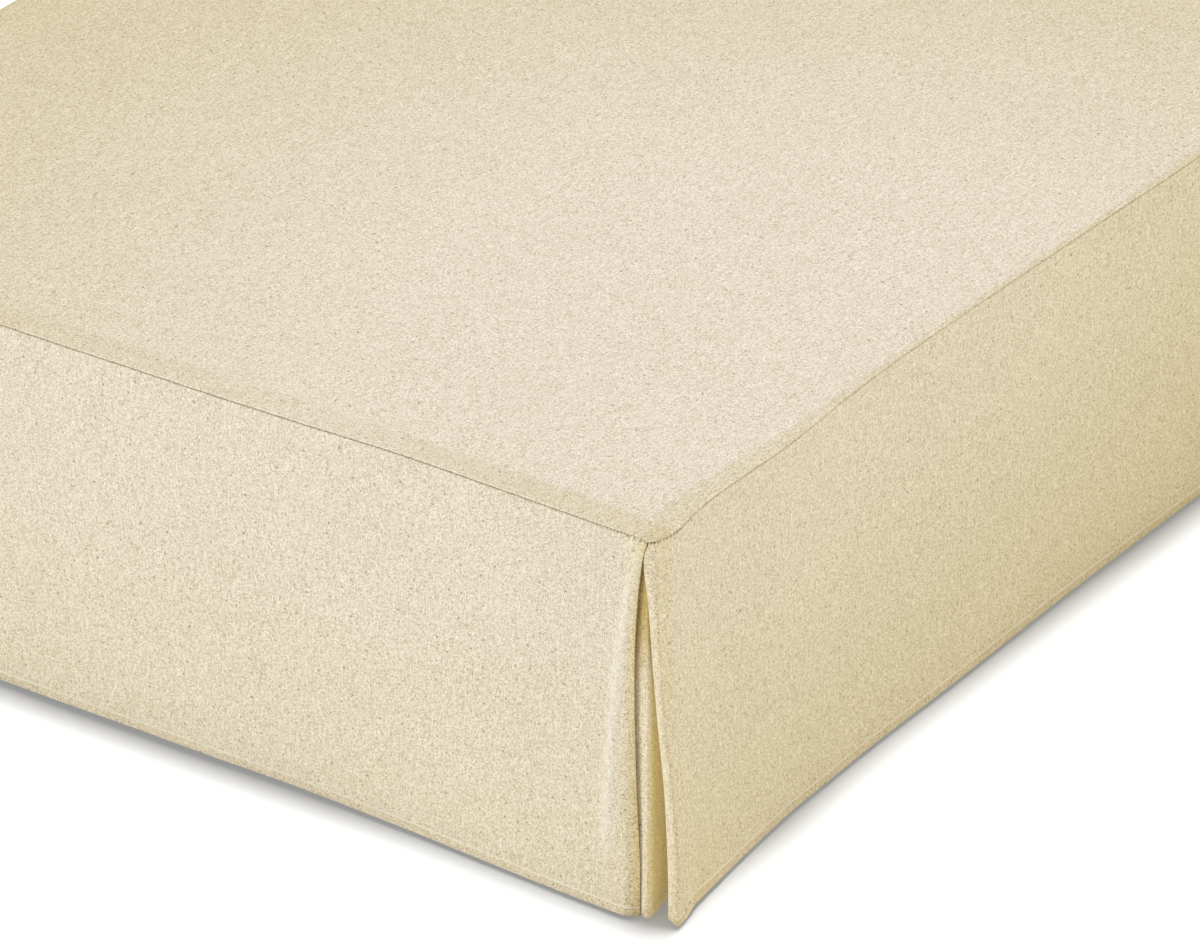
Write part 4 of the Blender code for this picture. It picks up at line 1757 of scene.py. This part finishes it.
@dataclass(frozen=True)
class WoodFinish:
    """Dark stained and lacquered beech."""

    STRETCH = (1.0, 1.0, 0.08)      # the grain runs upright
    LINE_SCALE = 420.0
    MOTTLE_SIZE = 0.03
    ROUGH_RANGE = 0.25

    name: str
    dark: Color
    light: Color
    roughness: float = 0.42

    def material(self, effects: Effects) -> bpy.types.Material:
        """Build the material.

        Args:
            effects: The shared node groups.

        Returns:
            The feet's wood.
        """
        material, nodes, shader = new_material(self.name, self.roughness, sheen=0.0, specular=0.5)
        own = nodes.node("ShaderNodeTexCoord").outputs["Object"]
        stretched = nodes.node("ShaderNodeVectorMath", {0: own, 1: self.STRETCH}, operation="MULTIPLY")
        lines = nodes.noise(stretched.outputs["Vector"], self.LINE_SCALE, detail=3.0, roughness=0.65)
        slow = nodes.group(effects.mottle, place=own, size=self.MOTTLE_SIZE).outputs["Tone"]
        share = nodes.math("ADD", nodes.math("ADD", lines, slow), 0.5, clamp=True)
        nodes.feed(shader.inputs["Base Color"], nodes.mix(share, solid(self.dark), solid(self.light)))
        rough = nodes.math("MULTIPLY_ADD", lines, self.ROUGH_RANGE, self.roughness)
        nodes.feed(shader.inputs["Roughness"], rough)
        bump(nodes, shader, lines, strength=0.25, distance=0.0002)
        return material


class Stitches:
    """Geometry Nodes tree that lays stitches along a line, and what makes plain meshes with it."""

    BOW_STEPS = 4
    THREAD_SIDES = 6
    DEFAULTS = {
        "Pitch": 0.003, "Length": 0.0022, "Radius": 0.0002, "Lift": 0.0002, "Sink": 0.0002,
        "Turn": 0.0, "Unevenness": 0.08, "Flare": 0.0,
    }
    SEED = 7

    def __init__(self) -> None:
        """Build the tree."""
        self.tree = bpy.data.node_groups.new("stitch line", "GeometryNodeTree")
        self.sockets: dict[str, str] = {}
        self.build_tree()

    def socket(self, name: str, kind: str, default: object = None) -> None:
        """Add a named input to the tree.

        Args:
            name: Its name.
            kind: Its socket type.
            default: Its own value, where it has one.
        """
        made = self.tree.interface.new_socket(name, in_out="INPUT", socket_type=kind)
        if default is not None:
            made.default_value = default
        self.sockets[name] = made.identifier

    def build_tree(self) -> None:
        """Line to curve, even points on it, and a bowed piece of thread on each."""
        nodes = Tree(self.tree)
        self.socket("Line", "NodeSocketGeometry")
        for label, default in self.DEFAULTS.items():
            self.socket(label, NUMBER, default)
        self.socket("Seed", "NodeSocketInt", self.SEED)
        self.socket("Thread", "NodeSocketMaterial")
        self.tree.interface.new_socket("Stitches", in_out="OUTPUT", socket_type="NodeSocketGeometry")
        given = nodes.node("NodeGroupInput").outputs
        curve = nodes.node("GeometryNodeMeshToCurve", {"Mesh": given["Line"]}).outputs["Curve"]
        inputs = {"Curve": curve, "Length": given["Pitch"]}
        even = nodes.node("GeometryNodeResampleCurve", inputs, mode="LENGTH").outputs["Curve"]
        rotation, size = self.placing(nodes, given)
        inputs = {"Points": even, "Instance": self.bow(nodes, given), "Rotation": rotation, "Scale": size}
        laid = nodes.node("GeometryNodeInstanceOnPoints", inputs).outputs["Instances"]
        real = nodes.node("GeometryNodeRealizeInstances", {"Geometry": laid}).outputs["Geometry"]
        smooth = nodes.node("GeometryNodeSetShadeSmooth", {"Geometry": real}).outputs["Geometry"]
        finish = nodes.node("GeometryNodeSetMaterial", {"Geometry": smooth, "Material": given["Thread"]})
        nodes.node("NodeGroupOutput", {"Stitches": finish.outputs["Geometry"]})

    def bow(self, nodes: Tree, given: bpy.types.bpy_prop_collection) -> Socket:
        """One stitch.

        Args:
            nodes: The tree.
            given: Its own inputs.

        Returns:
            The mesh of a bowed piece of thread, its ends sunk and its middle lifted.
        """
        half, under = nodes.times(given["Length"], 0.5), nodes.times(given["Sink"], -1.0)
        top = nodes.math("MULTIPLY_ADD", given["Lift"], 2.0, given["Sink"])
        line = nodes.node("GeometryNodeCurveQuadraticBezier", {
            "Resolution": self.BOW_STEPS,
            "Start": nodes.joined(nodes.times(half, -1.0), z=under),
            "Middle": nodes.joined(z=top),
            "End": nodes.joined(half, z=under),
        })
        inputs = {"Resolution": self.THREAD_SIDES, "Radius": given["Radius"]}
        ring = nodes.node("GeometryNodeCurvePrimitiveCircle", inputs, mode="RADIUS")
        inputs = {"Curve": line.outputs["Curve"], "Profile Curve": ring.outputs["Curve"], "Fill Caps": True}
        return nodes.node("GeometryNodeCurveToMesh", inputs).outputs["Mesh"]

    def placing(self, nodes: Tree, given: bpy.types.bpy_prop_collection) -> tuple[Socket, Socket]:
        """How each stitch lies: along its line, facing out, and a little uneven.

        Args:
            nodes: The tree.
            given: Its own inputs.

        Returns:
            The stitch's rotation and scale.
        """
        tangent = nodes.node("GeometryNodeInputTangent").outputs["Tangent"]
        outward, span = [
            nodes.node("GeometryNodeInputNamedAttribute", data_type=kind)
            for kind in ("FLOAT_VECTOR", "FLOAT")
        ]
        outward.inputs["Name"].default_value = "outward"
        span.inputs["Name"].default_value = "span"
        span_size = span.outputs["Attribute"]
        first = nodes.node("FunctionNodeAlignRotationToVector", {"Vector": tangent}, axis="X")
        inputs = {"Rotation": first.outputs["Rotation"], "Vector": outward.outputs["Attribute"]}
        second = nodes.node("FunctionNodeAlignRotationToVector", inputs, axis="Z", pivot_axis="X")
        chance = nodes.node("FunctionNodeRandomValue", {"Seed": given["Seed"]}, data_type="FLOAT")
        limits = [socket for socket in chance.inputs if socket.type == "VALUE"]
        limits[0].default_value = -1.0
        limits[1].default_value = 1.0
        luck = [socket for socket in chance.outputs if socket.type == "VALUE"][0]
        angle = nodes.math("MULTIPLY_ADD", luck, given["Unevenness"], given["Turn"])
        spin = nodes.node("FunctionNodeAxisAngleToRotation", {"Axis": (0.0, 0.0, 1.0), "Angle": angle})
        inputs = {"Rotation": second.outputs["Rotation"], "Rotate By": spin.outputs["Rotation"]}
        turned = nodes.node("FunctionNodeRotateRotation", inputs, rotation_space="LOCAL")
        longer = nodes.math("MULTIPLY_ADD", luck, given["Unevenness"], 1.0)
        opened = nodes.math("SUBTRACT", span_size, 1.0)
        wider = nodes.math("MULTIPLY_ADD", opened, given["Flare"], 1.0)
        return turned.outputs["Rotation"], nodes.joined(nodes.times(span_size, longer), wider, 1.0)

    def lay(self, name: str, path: ThreadPath, values: dict[str, object]) -> bpy.types.Object:
        """Lay stitches along a line and make them one plain mesh.

        Args:
            name: Name of the piece.
            path: The line.
            values: Values of the tree's inputs, by name.

        Returns:
            The stitches.
        """
        line = bpy.data.meshes.new(name + "_line")
        line.from_pydata(path.points, [(step, step + 1) for step in range(len(path.points) - 1)], [])
        facing = line.attributes.new("outward", "FLOAT_VECTOR", "POINT")
        facing.data.foreach_set("vector", [value for way in path.outward for value in way])
        line.attributes.new("span", "FLOAT", "POINT").data.foreach_set("value", path.spans)
        carrier = placed(name + "_line", line)
        modifier = carrier.modifiers.new("stitches", "NODES")
        modifier.node_group = self.tree
        for label, value in values.items():
            modifier[self.sockets[label]] = value
        evaluated = carrier.evaluated_get(bpy.context.evaluated_depsgraph_get())
        mesh = bpy.data.meshes.new_from_object(evaluated)
        mesh.name = name
        made = placed(name, mesh)
        carrier.modifiers.remove(modifier)
        bpy.data.objects.remove(carrier, do_unlink=True)
        return made


class Skirt:
    """The whole skirt: its canvas sheets and its thread."""

    DROP_CUT = 0.362           # depth of a drop's cut cloth: seam to hem, and what turns in at both
    BACKING_CUT = (0.120, 0.352)
    SEAM_SINK = 0.00004        # how far behind the face the seam's stitches lie, and above the drop's edge
    SEAM_RISE = 0.00012
    FIRST_RUN = 0.008          # where the hem's thread begins on the foot drop
    LOOSE_RUN = 0.024          # and on a side drop, whose tip has lost its thread and shows the holes
    CORNER_SPAN = 0.9          # how much longer the seam's stitches are where the corner draws it open
    CORNER_REACH = 0.042
    FACE_ROWS = 4              # rows below the edge at which the cloth's face shows the seam's direction
    END_ROWS = 8               # rows at the hem that the plain end's thread stays clear of

    def __init__(self, effects: Effects) -> None:
        """Make the finishes and work out the sheets.

        Args:
            effects: The shared node groups.
        """
        # Each canvas has a painted falloff of the light away from its palest place, and the drops a painted
        # shade towards the hem
        self.deck_finish = CanvasFinish(
            "deck canvas",
            (0.753, 0.696, 0.608),
            far_tint=(0.885, 0.850, 0.715),
            palest=(CLOTH_START["deck"] + HALF_WIDTH - 0.12, 0.35, 0.0),
            pale_reach=(0.20, 1.05),
        ).material(effects)
        self.foot_finish = CanvasFinish(
            "foot drop canvas",
            (0.757, 0.689, 0.567),
            lower_tint=(0.965, 0.950, 0.885),
            far_tint=(0.950, 0.945, 0.920),
            palest=(FOOT_END - 0.42, 0.10, 0.0),
            pale_reach=(0.15, 0.60),
        ).material(effects)
        self.side_finish = CanvasFinish(
            "side drop canvas",
            (0.757, 0.684, 0.554),
            lower_tint=(0.895, 0.875, 0.785),
            far_tint=(0.945, 0.932, 0.840),
            pale_reach=(0.35, 1.10),
            stitch=SIDE_STITCH,
        ).material(effects)
        # The backing's canvas is more golden than the drops' as painted shade inside the pleat, and glows
        # as painted light through the leaves
        self.back_finish = CanvasFinish(
            "backing canvas",
            (0.780, 0.690, 0.500),
            inner_tint=(0.740, 0.630, 0.360),
            glow=(0.195, 0.170, 0.080),
        ).material(effects)
        self.thread = ThreadFinish("cotton thread", (0.860, 0.780, 0.620)).material(effects)
        # The backing's thread is darker and more golden as painted shade inside the pleat
        self.back_thread = ThreadFinish("backing thread", (0.600, 0.480, 0.290)).material(effects)
        self.side = SideDrop(SIDE_PLAN)
        self.foot = FootDrop(FOOT_PLAN)
        self.stitches = Stitches()

    def build(self) -> list[bpy.types.Object]:
        """Make every sheet and thread, put each under the root body, and hide the solid that each sheet
        stands for.

        Returns:
            The skirt's pieces.
        """
        deck = DeckPanel().grid()
        foot = self.foot.whole()
        right, left = self.side.right(), self.side.left()
        backing = PleatBacking(self.side)
        foot_length = BED_WIDTH - 2.0 * self.foot.runs[0]
        side_length = BED_LENGTH - self.side.runs[0]
        plans = [
            (deck, "deck_panel", self.deck_finish, (BED_WIDTH, BED_LENGTH), "laid", ["bed_base"]),
            (foot, "drop_foot", self.foot_finish, (foot_length, self.DROP_CUT), "hung", ["deck_canvas"]),
            (right, "drop_right", self.side_finish, (side_length, self.DROP_CUT), "hung", ["deck_canvas"]),
            (left, "drop_left", self.side_finish, (side_length, self.DROP_CUT), "hung", ["deck_canvas"]),
            (backing.right(), "pleat_right", self.back_finish, self.BACKING_CUT, "hung", ["deck_canvas"]),
            (backing.left(), "pleat_left", self.back_finish, self.BACKING_CUT, "hung", ["deck_canvas"]),
        ]
        pieces = []
        for grid, node, finish, flat, held, rests_on in plans:
            sheet = grid.build(finish)
            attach(sheet, "root")
            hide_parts(node)
            LOG.info("%s: %d points, for %s", sheet.name, len(sheet.data.vertices), node)
            pieces.append(sheet)
        pieces += self.sew(deck, foot, right, left, [grid for grid, *_ in plans[-2:]])
        return pieces

    def sew(
        self,
        deck: ClothGrid,
        foot: ClothGrid,
        right: ClothGrid,
        left: ClothGrid,
        backs: Sequence[ClothGrid],
    ) -> list[bpy.types.Object]:
        """Lay the threads.

        Args:
            deck: The deck panel's grid.
            foot: The foot drop's grid.
            right: The right drop's grid.
            left: The left drop's grid.
            backs: The grids of the right and left pleats' backings.

        Returns:
            The threads' pieces.
        """
        top = {
            "Pitch": HEM_STITCH, "Length": 0.0026, "Radius": 0.00032, "Lift": 0.00024, "Sink": 0.00018,
            "Turn": StitchWay.ALONG.value, "Unevenness": 0.10, "Seed": 11, "Thread": self.thread,
        }
        seam = dict(top)
        seam.update({
            "Length": 0.0008, "Radius": 0.00026, "Lift": 0.00005, "Sink": 0.0003,
            "Turn": StitchWay.ACROSS.value, "Flare": 2.4, "Seed": 23,
        })
        made = []
        drops = ((foot, self.foot, "foot"), (right, self.side, "right"), (left, self.side, "left"))
        for grid, drop, name in drops:
            first = self.LOOSE_RUN if drop.has_plain_end else self.FIRST_RUN
            face = [c for c, run in enumerate(grid.runs) if run > first and self.clear_of_end(grid, c)]
            hem = grid.line_above_hem(face, lambda run, d=drop: d.stitch_height.at(max(run, 0.0)))
            made.append(self.stitches.lay(name + "_hem_thread", hem, top))
            values = {**seam, "Pitch": SIDE_STITCH if drop.has_plain_end else SEAM_STITCH}
            made.append(self.stitches.lay(name + "_seam_thread", self.seam_line(grid), values))
            if drop.has_plain_end:
                end = grid.line_at_run(BED_LENGTH - HEM_BAND, grid.outer[1:-self.END_ROWS])
                made.append(self.stitches.lay(name + "_end_thread", end, top))
        for grid, name in zip(backs, ("right_pleat", "left_pleat")):
            hem = grid.line_above_hem(range(len(grid.runs)), lambda run: HEM_BAND)
            made.append(self.stitches.lay(name + "_thread", hem, {**top, "Thread": self.back_thread}))
        head = deck.line_along(BED_LENGTH - HEM_BAND)
        made.append(self.stitches.lay("deck_head_thread", head, top))
        for piece in made:
            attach(piece, "root")
            LOG.info("%s: %d points", piece.name, len(piece.data.vertices))
        return made

    def seam_line(self, grid: ClothGrid) -> ThreadPath:
        """Line of the seam's stitches over a drop's top edge; it begins and ends just at a corner.

        Args:
            grid: The drop's grid.

        Returns:
            The line, with longer stitches where the corner draws the seam open.
        """
        path = ThreadPath()
        row = grid.outer.start
        for column in range(1, len(grid.runs)):
            before, run = grid.runs[column - 1], grid.runs[column]
            shares = [before / (before - run)] if (before > 0.0) != (run > 0.0) else []
            if run > 0.0:
                shares.append(1.0)
            for share in sorted(shares):
                point = grid.points[row][column - 1].lerp(grid.points[row][column], share)
                outward = grid.normal(row + self.FACE_ROWS, column)
                opened = bell(between(before, run, share), self.CORNER_REACH)
                lifted = point + Vector((0.0, 0.0, self.SEAM_RISE)) - outward * self.SEAM_SINK
                path.add(lifted, outward, 1.0 + self.CORNER_SPAN * opened)
        return path

    @staticmethod
    def clear_of_end(grid: ClothGrid, column: int) -> bool:
        """True where a column of a drop is short of the plain end's own hem."""
        return grid.name == "foot_drop_canvas" or grid.runs[column] < BED_LENGTH - HEM_BAND


class Base:
    """The plain bed base and its feet, whose solids stay and get their finishes."""

    FEET = ("foot_front_left", "foot_front_right", "foot_back_left", "foot_back_right")

    def __init__(self, effects: Effects) -> None:
        """Make the finishes.

        Args:
            effects: The shared node groups.
        """
        self.cover = CoverFinish("base cover", (0.560, 0.540, 0.495)).material(effects)
        beech = WoodFinish("stained beech", (0.040, 0.024, 0.014), (0.110, 0.066, 0.036))
        self.wood = beech.material(effects)

    def dress(self) -> None:
        """Put the finishes on the solids."""
        for name, finish in [("bed_base", self.cover)] + [(foot, self.wood) for foot in self.FEET]:
            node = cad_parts[name]
            node.data.materials.clear()
            node.data.materials.append(finish)
            LOG.info("%s: finished as %s", name, finish.name)


@dataclass(frozen=True)
class SunLight:
    """Far, soft light: where it stands, how strong it is and how wide it looks."""

    name: str
    azimuth: float
    elevation: float
    strength: float
    width: float
    color: Color

    def add(self) -> bpy.types.Object:
        """Put the light in the scene.

        Returns:
            The light's object.
        """
        light = bpy.data.lights.new(self.name, "SUN")
        light.energy = self.strength * math.pi
        light.angle = math.radians(self.width)
        light.color = self.color
        holder = placed(self.name, light)
        azimuth, elevation = math.radians(self.azimuth), math.radians(self.elevation)
        towards = Vector((
            math.sin(azimuth) * math.cos(elevation),
            -math.cos(azimuth) * math.cos(elevation),
            math.sin(elevation),
        ))
        holder.rotation_mode = "QUATERNION"
        holder.rotation_quaternion = towards.to_track_quat("Z", "Y")
        return holder


class Studio:
    """Plain pale floor, soft lights and the camera."""

    FLOOR_HALF = 40.0
    CORNER = Vector((HALF_WIDTH, FOOT_LINE, HEM_CLEARANCE))
    CAMERA_OFFSET = Vector((2.8916, -4.2443, 3.1760))
    CAMERA_RIGHT = Vector((0.82267, 0.56852, -0.00195))
    CAMERA_UP = Vector((-0.26828, 0.39123, 0.88032))
    CAMERA_BACK = Vector((0.50124, -0.72369, 0.47437))
    LENS = 223.08
    AMBIENT = 0.25
    AMBIENT_COLOR = (1.0, 0.965, 0.86)
    LIGHTS = (
        SunLight("overhead softbox", azimuth=222.0, elevation=87.2, strength=0.66, width=5.5,
                 color=(1.0, 0.99, 0.96)),
        SunLight("left softbox", azimuth=-28.0, elevation=12.0, strength=0.52, width=36.0,
                 color=(1.0, 0.995, 0.98)),
        SunLight("right softbox", azimuth=118.0, elevation=12.0, strength=0.41, width=36.0,
                 color=(1.0, 0.90, 0.64)),
    )
    FLOOR_LIGHT = SunLight(
        "floor softbox", azimuth=222.0, elevation=86.0, strength=1.10, width=8.0, color=(1.0, 0.97, 0.91)
    )
    FLOOR_COLOR = (0.420, 0.432, 0.455)
    FLOOR_GLOW = 0.20
    FLOOR_ROUGHNESS = 0.9
    SENSOR_WIDTH = 36.0
    CLIP_END = 200.0

    def floor(self) -> None:
        """Lay the floor, which is no part of the object."""
        reach = self.FLOOR_HALF
        mesh = bpy.data.meshes.new("studio_floor")
        corners = [(-reach, -reach, 0.0), (reach, -reach, 0.0), (reach, reach, 0.0), (-reach, reach, 0.0)]
        mesh.from_pydata(corners, [], [(0, 1, 2, 3)])
        material, _, shader = new_material("pale floor", self.FLOOR_ROUGHNESS, sheen=0.0, specular=0.1)
        shader.inputs["Base Color"].default_value = solid(self.FLOOR_COLOR)
        shader.inputs["Emission Color"].default_value = solid(WHITE)
        shader.inputs["Emission Strength"].default_value = self.FLOOR_GLOW
        mesh.materials.append(material)
        floor = placed("studio_floor", mesh)
        lit = bpy.data.collections.new("lit by the floor softbox")
        lit.objects.link(floor)
        self.FLOOR_LIGHT.add().light_linking.receiver_collection = lit

    def lights(self) -> None:
        """Set the surrounding light and the lamps."""
        world = bpy.data.worlds.new("studio")
        world.use_nodes = True
        nodes = Tree(world.node_tree)
        inputs = {"Color": solid(self.AMBIENT_COLOR), "Strength": self.AMBIENT}
        background = nodes.node("ShaderNodeBackground", inputs)
        nodes.node("ShaderNodeOutputWorld", {"Surface": background.outputs[0]})
        bpy.context.scene.world = world
        for light in self.LIGHTS:
            light.add()

    def camera(self) -> None:
        """Set the camera."""
        lens = bpy.data.cameras.new("camera")
        lens.lens = self.LENS
        lens.sensor_width = self.SENSOR_WIDTH
        lens.clip_end = self.CLIP_END
        holder = placed("camera", lens)
        pose = Matrix((self.CAMERA_RIGHT, self.CAMERA_UP, self.CAMERA_BACK)).transposed().to_4x4()
        pose.translation = self.CORNER + self.CAMERA_OFFSET
        holder.matrix_world = pose
        bpy.context.scene.camera = holder
        bpy.context.scene.view_settings.view_transform = "Standard"

    def build(self) -> None:
        """Make the whole studio."""
        self.floor()
        self.lights()
        self.camera()
        LOG.info("studio: floor, %d lights and camera", len(self.LIGHTS))


def main() -> None:
    """Build the studio, the base and the skirt, in that order."""
    Studio().build()
    effects = Effects()
    Base(effects).dress()
    Skirt(effects).build()


if __name__ == "__main__":
    main()
